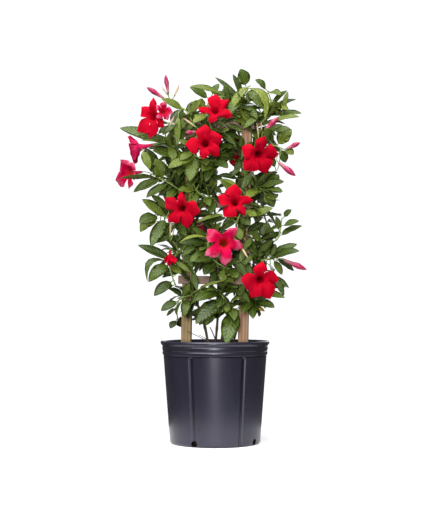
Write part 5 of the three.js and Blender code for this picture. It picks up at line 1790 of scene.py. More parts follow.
@dataclass(frozen=True)
class BloomShape:
    """An open flower: where its mouth is seen, how it faces and how wide it opens.

    Each petal is turned by so many degrees from its even place, and is so long and so wide beside an even one.
    """

    mouth: Triple
    yaw: float
    pitch: float
    across: float
    spin: float = 90
    cup: float = 8
    slim: float = 1
    tube: float = 62
    tint: Tint = Tint.RED
    flare: float = 1
    join: float = 0
    petals: tuple[Triple, ...] = ((0, 1, 1),) * 5

    @property
    def size(self) -> float:
        """How large the flower is beside one of 84 mm."""
        return self.across / 84

    @property
    def out(self) -> Vector:
        """The way the flower faces."""
        turn, tilt = radians(self.yaw), radians(self.pitch)
        return Vector((sin(turn) * cos(tilt), -cos(turn) * cos(tilt), sin(tilt)))

    @property
    def foot(self) -> Vector:
        """The end of the tube, where the stalk meets it."""
        return PICTURE.at(*self.mouth) - self.out * self.tube * MM

    def place(self, radius: float, turn: float, height: float) -> Vector:
        """Give a point from its radius and turn about the flower's axis and its height over the mouth, in mm.

        Args:
            radius: Millimetres from the axis.
            turn: Degrees round it.
            height: Millimetres in front of the mouth.

        Returns:
            The point, in metres.
        """
        right = self.out.cross(Vector((0, -0.75, 0.66)) if abs(self.out.z) > 0.9 else UP).normalized()
        top = right.cross(self.out)
        angle = radians(turn)
        spot = right * (radius * cos(angle)) + top * (radius * sin(angle)) + self.out * height
        return PICTURE.at(*self.mouth) + spot * MM


BLOOMS = {
    "upper_left_red": BloomShape((151.5, 115.5, -78), -30, 6, 82, -3, petals=(
        (0, 0.84, 0.9), (-20, 1.06, 0.47), (36, 0.84, 0.8), (16, 1.2, 0.95), (-12, 1.2, 1.2))),
    "upper_left_pink": BloomShape((163, 110, -132), 10, 12, 50, 60, cup=24, tube=44, tint=Tint.PINK, petals=(
        (-6, 0.8, 0.85), (8, 0.7, 1.15), (0, 0.8, 0.7), (-10, 0.8, 0.7), (10, 0.7, 0.75))),
    "top_red": BloomShape((215.5, 109, -88), 0, 20, 80, -40, tube=46, petals=(
        (10, 1.03, 0.65), (16, 1.05, 0.9), (-7, 1, 0.6), (-18, 0.94, 0.6), (0, 0.7, 0.8))),
    "high_red": BloomShape((205, 142.5, -104), -4, 4, 88, -38, petals=(
        (-9, 0.95, 1.1), (12, 0.9, 1), (9, 0.85, 0.95), (0, 0.85, 0.75), (-14, 0.68, 0.78))),
    "right_red": BloomShape((259, 154, -84), 6, -14, 86, -14, petals=(
        (-8, 0.85, 1.05), (5, 0.95, 0.8), (4, 1, 1), (-1, 1.03, 1.05), (-6, 1.06, 1))),
    "left_red": BloomShape((181.5, 208, -98), -8, -4, 84, -10, petals=(
        (-3, 1.03, 0.85), (-12, 0.8, 0.5), (12, 0.92, 1.05), (4, 1.06, 0.9), (-4, 0.97, 0.85))),
    "middle_red": BloomShape((235, 202, -98), 0, 10, 80, -23, petals=(
        (0, 0.95, 0.9), (-4, 1.03, 1.1), (9, 1.01, 0.55), (-1, 0.88, 0.5), (-4, 0.92, 1.05))),
    "middle_pink": BloomShape((224, 243, -108), 4, 4, 92, 5, slim=0.78, tint=Tint.PINK, petals=(
        (-8, 0.97, 1.1), (13, 0.94, 0.75), (3, 0.92, 0.75), (5, 1.08, 0.85), (-8, 1.03, 0.9))),
    "low_red": BloomShape((260.5, 280, -98), 6, -6, 88, -27, petals=(
        (-18, 0.92, 1.1), (7, 0.8, 1), (16, 0.86, 1), (8, 1.06, 0.95), (-7, 0.97, 0.8))),
    "side_pink_upper": BloomShape((137.6, 147, -58), -94, -10, 82, cup=60, tube=36, tint=Tint.PINK, flare=1.2, join=0.6,
                                  petals=((0, 1, 1.1),) * 5),
    "side_pink_lower": BloomShape((129, 173, -66), -52, -10, 76, cup=20, tube=36, tint=Tint.PINK, flare=1.1, petals=(
        (0, 0.6, 1.1), (0, 0.6, 1), (0, 0.85, 1), (0, 1.55, 0.95), (-2, 1, 1.1))),
    "hanging_red": BloomShape((170, 256.5, -62), 0, -78, 58, cup=90, tube=15, flare=0.95, petals=(
        (0, 0.9, 1.1), (0, 0.8, 0.8), (0, 0.9, 1), (0, 0.8, 0.85), (0, 0.9, 1.05))),
    "back_red": BloomShape((238, 150, 100), 172, 6, 84, 80),
    "back_pink": BloomShape((196, 236, 104), 188, 4, 84, 100, tint=Tint.PINK),
}

BUDS = {
    "top_left_side": ((163.5, 97, -50), (146, 85.5, -58), 7.0),
    "top_left_tall": ((168, 92, -50), (165, 73, -54), 6.2),
    "high_red": ((195, 131, -74), (185.5, 132, -86), 5.8),
    "right_tall": ((264.5, 130, -62), (279, 116, -68), 7.6),
    "right_short": ((287, 148, -55), (300.7, 141.8, -58), 6.6),
    "right_low": ((279, 162, -60), (296, 175.5, -64), 8.2),
    "low_right": ((284, 260, -50), (306.8, 269.7, -54), 8.0),
}

BULGES = ((0, 0, 0), (0, 0, -14), (0, 0, 14), (0, -14, 0), (-14, 0, 0), (14, 0, 0), (0, 14, 0), (0, -16, -22),
          (0, -16, 22), (-22, 0, -16), (22, 0, -16), (0, 24, 10), (-24, -10, 14), (24, -10, 14))

OUTLINE = ((80, 236, 250), (95, 200, 284), (112, 172, 290), (130, 150, 288), (160, 146, 286), (190, 147, 282),
           (225, 145, 284), (250, 150, 284), (285, 160, 280), (310, 172, 268), (326, 184, 250))
WINDOWS = ((217, 211.5, 6), (221, 169, 4), (203, 276.5, 6), (208, 308, 8), (268, 209, 4), (228, 330, 8),
           (259, 227, 9), (262, 199, 7), (156, 262, 8), (152, 250, 6))
BARE_WOOD = ((238, 125, 6), (219, 121.5, 4), (248, 138, 4), (205, 279.5, 5), (184, 284, 5), (186, 330, 8),
             (243, 328, 9), (206, 210, 4))


def spindle_body(name: str, base: Vector, tip: Vector, radius: float, rows: int) -> Object:
    """Make a closed bud: a spindle whose petals are rolled about each other.

    Args:
        name: The object's name.
        base: Its lower end.
        tip: Its pointed end.
        radius: Its greatest radius, in millimetres.
        rows: Lengths along it.

    Returns:
        The bud, with run and the painted fold shade on its points.
    """
    along = (tip - base).normalized()
    right = along.orthogonal().normalized()
    top = along.cross(right)
    stations, shares = (0.0, 0.3, 0.62, 0.86, 1.0), (0.42, 0.64, 1.0, 0.6, 0.06)
    folds, twist = 5, 2.4
    sides = folds * 3
    points, data = [base.copy()], [(0.0, 0.0)]
    for row in range(rows + 1):
        run = row / rows
        share = float(np.interp(run, stations, shares))
        for side in range(sides):
            turn = 2 * pi * side / sides
            # the groove presses the surface in and also sets its painted shade
            groove = 0.5 + 0.5 * cos(folds * turn)
            angle = turn + twist * run
            reach = radius * share * (1 - 0.16 * groove) * MM
            points.append(base.lerp(tip, run) + (right * cos(angle) + top * sin(angle)) * reach)
            data.append((run, groove))
    rings = [range(1 + row * sides, 1 + (row + 1) * sides) for row in range(rows + 1)]
    faces = loft([[0], *rings, [len(points)]], inward=True)
    points.append(tip + along * 0.3 * MM)
    data.append((1.0, 0.0))
    return mesh_object(name, points, faces, dict(zip(("run", "fold"), zip(*data), strict=True)))


@dataclass(frozen=True)
class SeenLeaf:
    """A leaf that stands out in the picture: where its blade starts and ends, its depth, its width in mm, its tone.

    A bend pulls its midrib towards a third place.
    """

    knee: Pair
    tip: Pair
    depth: float
    width: float
    tone: float = -1
    bend: tuple[float, ...] = ()
    tip_lift: float = 10
    bend_lift: float = 14
    faces: Triple = (0, -0.85, 0.52)
    arch: float = 0.16
    petiole: float = 7

    def leaf(self, shift: float) -> Leaf:
        """Place the leaf, with its depth changed by so many millimetres.

        Args:
            shift: Millimetres to move it back.

        Returns:
            The leaf.
        """
        knee = PICTURE.at(*self.knee, self.depth + shift)
        tip = PICTURE.at(*self.tip, self.depth + shift - self.tip_lift)
        along = (tip - knee).normalized()
        toward = Vector(self.faces)
        normal = (toward - along * toward.dot(along)).normalized()
        bow = knee.lerp(tip, 0.5) + normal * (tip - knee).length * self.arch
        if self.bend:
            bow = PICTURE.at(*self.bend, self.depth + shift - self.bend_lift)
        root = knee - (bow - knee).normalized() * self.petiole * MM
        return Leaf(root, knee, bow, tip, along.cross(normal), self.width * MM, self.tone)


SEEN_LEAVES = tuple(SeenLeaf(row[:2], row[2:4], *row[4:7], row[7:]) for row in (
    (249, 87, 265, 121, -58, 22, 0.74, 272, 88), (248, 86, 228, 113, -52, 24, 0.78, 238, 92),
    (221, 92, 190, 85, -42, 17, 0.6, 204, 84), (228, 97, 224, 83, -46, 15, 0.3), (258, 95, 240, 104, -30, 18, 0.4),
    (284, 107, 288.5, 90, -34, 13, 0.66), (275, 120, 300, 116, -48, 17, 0.68, 288, 113),
    (268, 132, 283, 124, -42, 20, 0.4), (143, 151, 150, 169, -62, 24, 0.62), (178, 116, 177, 146, -54, 18, 0.6),
    (187, 120, 169, 138, -24, 19, 0.3), (177, 150, 153, 133, -46, 17, 0.4),
    (184, 163, 153, 147, -44, 27, 0.28, 166, 149), (196, 120, 184, 133, -44, 17, 0.45),
    (240, 158, 236, 174, -34, 18, 0.16), (247, 177, 229, 172, -6, 19, 0.2), (238, 187, 219, 179, -62, 15, 0.72),
    (232, 150, 224, 163, -20, 18, 0.12), (240, 106, 251, 124, -46, 21, 0.62), (249, 143, 241, 159, -44, 17, 0.3),
    (252, 173, 242, 189, -46, 22, 0.25), (242, 168, 254, 186, -48, 20, 0.45), (183, 160, 193, 177, -46, 22, 0.3),
    (197, 178, 182, 192, -44, 20, 0.5), (192, 187, 190, 207, -66, 12, 0.84), (166, 208, 151, 195, -46, 19, 0.35),
    (155, 221, 140, 232, -36, 30, 0.62, 146, 219), (223, 215, 196, 223, -58, 12, 0.76, 210, 214),
    (205, 223, 226, 218, -12, 21, 0.2), (204, 237, 179, 243, -70, 10, 0.82, 191, 233),
    (190, 228, 177, 241, -46, 18, 0.35), (184, 232, 192, 250, -48, 18, 0.6), (200, 249, 184, 257, -46, 19, 0.25),
    (214, 260, 193, 261, -68, 13, 0.82, 204, 254), (197, 263, 178, 270, -48, 24, 0.38),
    (166, 261, 147.5, 282, -44, 17, 0.32, 142, 254), (193, 272, 197, 291, -50, 16, 0.35),
    (215, 270, 211, 288, -50, 17, 0.18), (221, 268, 237, 275, -50, 21, 0.3), (239, 276, 221, 285, -50, 20, 0.62),
    (203, 287, 222, 281, -62, 9, 0.78), (246, 245, 240, 263, -46, 20, 0.45), (245, 284, 237, 298, -46, 18, 0.3),
    (237, 290, 250, 303, -46, 20, 0.4), (212, 291, 192, 304, -58, 24, 0.3, 200, 288),
    (236, 305, 207, 321, -60, 23, 0.34, 222, 303), (214, 309, 199, 325, -52, 25, 0.28),
    (253, 307, 264, 311, -46, 9, 1.0), (255, 215, 273, 208, -60, 25, 0.6), (246, 196, 262, 191, -46, 20, 0.4),
    (228, 124, 243, 131, -52, 17, 0.35), (222, 132, 236, 145, -50, 19, 0.25), (237, 178, 218, 175, -24, 17, 0.1),
    (234, 159, 219, 157, -30, 16, 0.12), (240, 168, 230, 177, -40, 14, 0.2), (238, 216, 222, 226, -20, 20, 0.15),
    (223, 229, 236, 222, -34, 15, 0.3), (258, 116, 243, 128, -52, 21, 0.5), (240, 118, 252, 131, -40, 18, 0.2),
    (172, 236, 155, 243, -48, 19, 0.3), (176, 124, 162, 134, -58, 17, 0.3), (178, 132, 165, 125, -36, 15, 0.55),
    (275, 278, 284, 296, -36, 17, 0.2), (272, 276, 289, 288, -30, 16, 0.3), (185, 206, 196, 218, -44, 17, 0.2),
    (190, 246, 179, 232, -40, 17, 0.25), (245, 262, 252, 277, -44, 17, 0.25), (252, 238, 243, 251, -48, 17, 0.55),
    (195, 244, 183, 256, -60, 21, 0.45), (182, 252, 193, 268, -56, 22, 0.3), (176, 262, 191, 273, -64, 16, 0.5),
    (235, 262, 247, 277, -60, 22, 0.25), (253, 255, 240, 267, -58, 20, 0.5), (197, 196, 184, 205, -58, 18, 0.3),
    (176, 220, 190, 229, -44, 20, 0.2), (210, 160, 222, 164, -50, 15, 0.35), (212, 176, 223, 180, -44, 16, 0.15),
    (211, 186, 222, 193, -40, 15, 0.2), (170, 240, 156, 235, -44, 17, 0.3), (262, 124, 272, 121, -30, 14, 0.5),
    (275, 166, 268, 153, -40, 18, 0.25), (276, 130, 291, 128, -44, 20, 0.35), (186, 128, 180, 141, -40, 16, 0.25),
    (187, 143, 175, 149, -44, 16, 0.3), (169, 126, 158, 133, -48, 17, 0.3)
))


@dataclass
class Crowd:
    """Points that are taken, kept by cell so that near ones are found at once."""

    room: float
    cells: dict[tuple[int, ...], list[Vector]] = field(default_factory=dict)

    def cell(self, place: Vector) -> tuple[int, ...]:
        """Give the cell of a place."""
        return tuple(floor(value / self.room) for value in place)

    def add(self, places: Iterable[Vector]) -> None:
        """Take places."""
        for place in places:
            self.cells.setdefault(self.cell(place), []).append(place)

    def clear(self, places: Iterable[Vector]) -> bool:
        """Say whether no taken point lies within the room of any of the places.

        Args:
            places: Places that would be taken.

        Returns:
            Whether they are free.
        """
        steps = [(i, j, k) for i in (-1, 0, 1) for j in (-1, 0, 1) for k in (-1, 0, 1)]
        for place in places:
            x, y, z = self.cell(place)
            near = (other for i, j, k in steps for other in self.cells.get((x + i, y + j, z + k), ()))
            if any((other - place).length < self.room for other in near):
                return False
        return True


@dataclass
class Growth:
    """What has been found of a shoot: its stems, stalks, leaves, and the tips that carry a calyx.

    Its perch is the stretch of its vine from which small leaves grow beside it, and its twigs carry single leaves.
    """

    perch: list[Vector] = field(default_factory=list)
    twigs: list[list[Vector]] = field(default_factory=list)
    stems: list[list[Vector]] = field(default_factory=list)
    stalks: list[list[Vector]] = field(default_factory=list)
    leaves: list[Leaf] = field(default_factory=list)
    calyxes: list[tuple[Vector, Vector, float]] = field(default_factory=list)


@dataclass
class Foliage:
    """The leafy shoots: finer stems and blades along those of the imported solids, and smaller leaves between them."""

    finishes: Finishes
    vines: Vines
    stem_step: float = 27 * MM
    stem_girth: Pair = (2.1, 1.5)
    stem_piece: float = 5 * MM
    stalk_girth: float = 1.15
    longest_bend: float = 30 * MM
    extra_step: float = 15 * MM
    extra_room: float = 4.0 * MM
    extra_length: Pair = (38, 74)
    most_extra: int = 520
    most_pairs: int = 28
    attempts: int = 14
    perch_reach: float = 48
    front: float = -0.112
    back: float = 0.122
    shade: float = 24 * MM
    shade_share: float = 0.48
    vine_shifts: tuple[float, ...] = (0, 10, -10, 20, -20, 30, -30)
    stem_shifts: tuple[float, ...] = (0, -6, 6, -12, 12, -18, 18, -26, 26)
    leaf_shifts: tuple[float, ...] = (0, 7, -7, 14, -14, 21, -21)
    sepals: int = 5
    sepal_line: tuple[Pair, ...] = ((-2.5, 0), (-1.5, 1.4), (2.5, 3.2), (7.5, 3.4))
    sepal_width: float = 3.6
    tone_base: float = 0.23
    # how much lighter the higher leaves are: partly fresher growth, partly painted light from above
    tone_high: float = 0.26
    tone_small: float = 0.14
    tone_spread: float = 0.42
    # how far painted shade darkens the leaves deep inside the plant
    inner_shade: float = 0.4
    tone_range: Pair = (0.02, 0.82)

    def find_stem(self, corners: KDTree, starts: Sequence[Vector], route: Sequence, radius: float) -> list[Vector]:
        """Find which of a stem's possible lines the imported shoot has.

        Args:
            corners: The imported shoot's vertices.
            starts: Where the stem may start.
            route: Its route in the picture.
            radius: Its radius at the start, in metres.

        Returns:
            The line's points.
        """
        best, least = [], inf
        for start in starts:
            for shift in self.stem_shifts:
                spots = [PICTURE.at(column, row, depth + shift) for column, row, depth in route]
                bends = Spline((start, *spots)).stepped(self.stem_step)
                miss = sum(abs(corners.find(bend)[2] - radius) for bend in bends[1:]) / len(bends)
                if miss < least:
                    best, least = bends, miss
        return best

    def nearest(self, stems: Sequence[Sequence[Vector]], column: float, row: float) -> Vector:
        """Give the point of the stems that is seen nearest to a place in the picture."""
        spots = [spot for stem in stems for spot in along_polyline(stem, 60)[8:]]
        return min(spots, key=lambda spot: dist(PICTURE.seen(spot), (column, row)))

    def find_stalk(self, corners: KDTree, start: Vector, target: Vector, along: Vector) -> list[Vector]:
        """Find the bend of a flower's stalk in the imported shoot.

        Args:
            corners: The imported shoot's vertices.
            start: Where the stalk leaves its stem.
            target: The flower's foot.
            along: The way the flower faces.

        Returns:
            The stalk's points.
        """
        end = target - along * 0.3 * MM
        run = (end - start).length
        handle = end - along * min(0.45 * run, self.longest_bend)
        options = [bezier(start, handle + Vector(bulge) * MM, end, 12) for bulge in BULGES]
        return min(options, key=lambda line: sum(abs(corners.find(line[i])[2] - 1.2 * MM) for i in (4, 8)))

    def find(self, name: str, shoot: Shoot) -> Growth:
        """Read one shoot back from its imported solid.

        Args:
            name: The shoot's name.
            shoot: Where it is looked for.

        Returns:
            What was found.
        """
        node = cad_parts[f"shoot_{name}"]
        corners = search_tree([corner.co for corner in node.data.vertices])
        grown = Growth(leaves=LeafReader().read(node))
        starts = [self.vines.point(shoot.vine, shoot.start + rise) for rise in self.vine_shifts]
        grown.perch = [self.vines.point(shoot.vine, shoot.start + self.perch_reach * step / 4) for step in range(-4, 5)]
        grown.stems.append(self.find_stem(corners, starts, shoot.route, 2.2 * MM))
        for twig in shoot.twigs:
            start = self.nearest(grown.stems[:1], *twig[0][:2])
            grown.stems.append(self.find_stem(corners, [start], twig, 1.9 * MM))
        grown.calyxes = [(BLOOMS[label].foot, BLOOMS[label].out, 1.0) for label in shoot.blooms]
        closed = [(*BUDS[label][:2], 0.8) for label in shoot.buds] + [(*spike[:2], 0.5) for spike in shoot.spikes]
        for base, tip, size in closed:
            foot = PICTURE.at(*base)
            grown.calyxes.append((foot, (PICTURE.at(*tip) - foot).normalized(), size))
        for foot, along, _ in grown.calyxes:
            start = self.nearest(grown.stems, *PICTURE.seen(foot))
            grown.stalks.append(self.find_stalk(corners, start, foot, along))
        return grown

    def calyx(self, foot: Vector, along: Vector, size: float, seed: int) -> list[Leaf]:
        """Make the narrow green sepals that hold a flower or bud.

        Args:
            foot: Where the stalk ends.
            along: The way the flower faces.
            size: The calyx's size beside an open flower's.
            seed: Varies the sepals' turns.

        Returns:
            The sepals.
        """
        right = along.orthogonal().normalized()
        top = along.cross(right)
        sepals = []
        for index in range(self.sepals):
            turn = 2 * pi * (index + draw(seed, index) * 0.3) / self.sepals
            out = right * cos(turn) + top * sin(turn)
            root, knee, bow, tip = (
                foot + along * rise * size * MM + out * reach * size * MM for rise, reach in self.sepal_line)
            width = self.sepal_width * size * MM
            sepals.append(Leaf(root, knee, bow, tip, out.cross(along), width, tone=0.8, stout=0.7 * size))
        return sepals

    def kept(self, spot: Vector) -> bool:
        """Say whether a leaf's point lies inside the plant and hides neither a window, bare wood nor a flower.

        Args:
            spot: A point of the leaf.

        Returns:
            Whether it may stay there.
        """
        column, row = PICTURE.seen(spot)
        rows = [line[0] for line in OUTLINE]
        if not rows[0] < row < rows[-1]:
            return False
        left, right = (float(np.interp(row, rows, [line[side] for line in OUTLINE])) for side in (1, 2))
        if not left < column < right or not self.front < spot.y < self.back:
            return False
        bare = WINDOWS + (BARE_WOOD if spot.y < 0 else ())
        if any(dist((column, row), (x, y)) < reach for x, y, reach in bare):
            return False
        fronts = [bloom for bloom in BLOOMS.values()
                  if spot.y < bloom.mouth[2] * MM + self.shade and bloom.mouth[2] < 0]
        return all(dist((column, row), bloom.mouth[:2]) >= bloom.across * self.shade_share * MM / PICTURE.scale
                   for bloom in fronts)

    def extra_leaf(self, root: Vector, tangent: Vector, keys: Sequence[int], attempt: int) -> Leaf:
        """Draw one small leaf that grows from a stem.

        Args:
            root: Where it grows.
            tangent: The stem's way there.
            keys: Numbers of its stem, its place on it and its side.
            attempt: How many draws there were before.

        Returns:
            The leaf.
        """
        axis = Vector((0, self.vines.trellis.y * MM, root.z))
        out = (root - axis).normalized()
        turn = radians(90 * keys[1] + 180 * keys[2] + (draw(*keys, attempt, 1) - 0.5) * (50 + 26 * attempt))
        side = out.cross(tangent).normalized()
        side.rotate(Quaternion(tangent, turn))
        along = side + out * 0.5 + tangent * 0.3 + UP * (0.25 - 0.7 * draw(*keys, attempt, 3))
        along.normalize()
        length = mix(*self.extra_length, draw(*keys, attempt, 2)) * 0.96**attempt * MM
        up = out * 0.5 + UP * 0.85
        normal = (up - along * up.dot(along)).normalized()
        normal.rotate(Quaternion(along, radians(40 * (draw(*keys, attempt, 5) - 0.5))))
        knee = root + along * 8 * MM
        tip = root + along * length
        bow = knee.lerp(tip, 0.5) + normal * length * (0.08 + 0.12 * draw(*keys, attempt, 6))
        width = length * (0.42 + 0.08 * draw(*keys, attempt, 4))
        return Leaf(root, knee, bow, tip, along.cross(normal), width, stout=0.8)

    @staticmethod
    def tubes() -> Crowd:
        """Take the insides of the flowers, where no leaf may go.

        Returns:
            The places taken.
        """
        tubes = Crowd(10 * MM)
        for shape in BLOOMS.values():
            tubes.add(shape.place(0, 0, height) for height in range(-int(shape.tube * 0.7), 9, 3))
        return tubes

    def add_seen(self, shoots: dict[str, Growth], taken: Crowd, tubes: Crowd) -> None:
        """Give the nearest shoots the leaves that stand out in the picture, on twigs of their own.

        Args:
            shoots: The shoots, by name.
            taken: Where leaves are.
            tubes: Where flowers are.
        """
        places = [(spot, grown) for grown in shoots.values() for line in [*grown.stems, grown.perch]
                  for spot in along_polyline(line, 40)]
        tree = search_tree([spot for spot, _ in places])
        for seen in SEEN_LEAVES:
            options = [seen.leaf(shift) for shift in self.leaf_shifts]
            options = [option for option in options if tubes.clear([option.root, option.knee, *option.spots()])]
            if not options:
                log.info("left out the leaf that ends at %s", seen.tip)
                continue
            leaf = next((option for option in options if taken.clear(option.spots())), options[0])
            start, index, _ = tree.find(leaf.root)
            grown = places[index][1]
            handle = leaf.root + (leaf.root - leaf.knee).normalized() * min((leaf.root - start).length * 0.5, 0.02)
            grown.twigs.append(bezier(start, handle, leaf.root, 8))
            grown.leaves.append(leaf)
            taken.add(leaf.spots())

    def add_leaves(self, shoots: dict[str, Growth]) -> None:
        """Fill the shoots with smaller leaves in opposite pairs, each clear of the leaves already there.

        Args:
            shoots: The shoots, by name.
        """
        low, high = CAD_BOX
        taken = Crowd(self.extra_room)
        for grown in shoots.values():
            for leaf in grown.leaves:
                taken.add(leaf.spots())
        tubes = self.tubes()
        self.add_seen(shoots, taken, tubes)
        added = 0
        for number in range(self.most_pairs):
            for order, grown in enumerate(shoots.values()):
                for stem, line in enumerate([*grown.stems, grown.perch]):
                    run = (number + 0.6) * self.extra_step
                    length = float(run_along(line)[-1])
                    if run > length or added >= self.most_extra:
                        continue
                    spots = along_polyline(line, 80)
                    index = min(int(run / length * 80), 79)
                    root, tangent = spots[index], (spots[index + 1] - spots[index]).normalized()
                    for mate in (0, 1):
                        for attempt in range(self.attempts):
                            leaf = self.extra_leaf(root, tangent, (order * 7 + stem + 40, number, mate), attempt)
                            places = leaf.spots()
                            inside = all(low[i] < place[i] < high[i] for place in places for i in range(3))
                            free = tubes.clear([root, leaf.knee, *places])
                            if inside and free and all(map(self.kept, places[3:])) and taken.clear(places):
                                grown.leaves.append(leaf)
                                taken.add(places)
                                added += 1
                                break
        log.info("added %d smaller leaves", added)

    def tones(self, leaves: Sequence[Leaf], seed: int) -> None:
        """Give each leaf its tone: fresh at the tips, lighter near the top and deeper low down (partly fresher growth,
        partly painted light from above), and darker inside the plant as painted shade.

        Args:
            leaves: A shoot's leaves.
            seed: Names the shoot's draws.
        """
        for index, leaf in enumerate(leaves):
            if leaf.tone < 0:
                # partly painted light: higher leaves are made lighter as if lit from above, partly fresher growth
                height = smooth(0.3, 0.85, leaf.tip.z)
                # painted shade: leaves near the trellis plane, inside the plant, are darkened
                inner = 1 - smooth(0.015, 0.06, abs(leaf.tip.y))
                small = 1 - smooth(0.035, 0.075, (leaf.tip - leaf.root).length)
                chance = draw(seed, index, 9)
                tone = (self.tone_base + self.tone_high * height + self.tone_small * small
                        + self.tone_spread * (chance - 0.4) - self.inner_shade * inner)
                leaf.tone = min(max(tone, self.tone_range[0]), self.tone_range[1])

    def stem_paths(self, grown: Growth) -> list[Path]:
        """Give the tubes of a shoot's stems and stalks.

        Args:
            grown: The shoot.

        Returns:
            A line for each tube.
        """
        paths = []
        for stem in grown.stems:
            points = Spline(tuple(stem)).stepped(self.stem_piece)
            girths, last = [], len(points) - 1
            for index, point in enumerate(points):
                near = min((point - leaf.root).length for leaf in grown.leaves) if grown.leaves else self.stem_piece
                swell = 1 - min(near / self.stem_piece, 1.0)
                girths.append(mix(*self.stem_girth, index / last) * (1 + 0.35 * swell) * MM)
            paths.append(Path(points, girths, [0.75 * (1 - smooth(0.1, 0.75, i / last)) for i in range(last + 1)]))
        for twig in grown.twigs:
            paths.append(Path(twig, [mix(1.3, 0.95, i / 8) * MM for i in range(9)], [0.0] * 9))
        for line, (foot, along, size) in zip(grown.stalks, grown.calyxes, strict=True):
            points = [*line[:-1], foot - along * 1.2 * MM, foot + along * 1.5 * MM]
            girths = [self.stalk_girth * MM] * (len(points) - 2) + [1.9 * size * MM, 2.3 * size * MM]
            paths.append(Path(points, girths, [0.0] * len(points)))
        return paths

    def build(self) -> None:
        """Make every shoot: one piece of leaves and one of stems, and the young buds."""
        shoots = {name: self.find(name, shoot) for name, shoot in SHOOTS.items()}
        log.info("read %d leaves", sum(len(grown.leaves) for grown in shoots.values()))
        self.add_leaves(shoots)
        maker = LeafMaker(self.finishes.leaf)
        pattern = maker.pattern()
        leaf_tree = LeafTree(self.finishes.leaf, pattern)
        stem_tree = TubeTree("stem_tube", self.finishes.stem, 7, 0.35, 240.0)
        for seed, (name, grown) in enumerate(shoots.items()):
            nodes = [f"shoot_{name}"]
            self.tones(grown.leaves, seed)
            leaves = maker.make(f"leaves_{name}", grown.leaves, leaf_tree, seed)
            dress(leaves, "foliage", nodes, crease=180)
            stems = stem_tree.grow(path_mesh("stem_path", self.stem_paths(grown)), f"stems_{name}")
            sepals = [sepal for index, ends in enumerate(grown.calyxes) for sepal in self.calyx(*ends, seed + index)]
            if sepals:
                stems = join(stems, maker.make("sepals", sepals, leaf_tree, seed))
            dress(stems, "foliage", nodes, crease=180)
            for number, (base, tip, radius) in enumerate(SHOOTS[name].spikes, 1):
                spike = spindle_body(f"young_bud_{name}_{number}", PICTURE.at(*base), PICTURE.at(*tip), radius, rows=8)
                dress(spike, "foliage", nodes, self.finishes.spike, crease=180)
        remove(pattern)


# Flowers


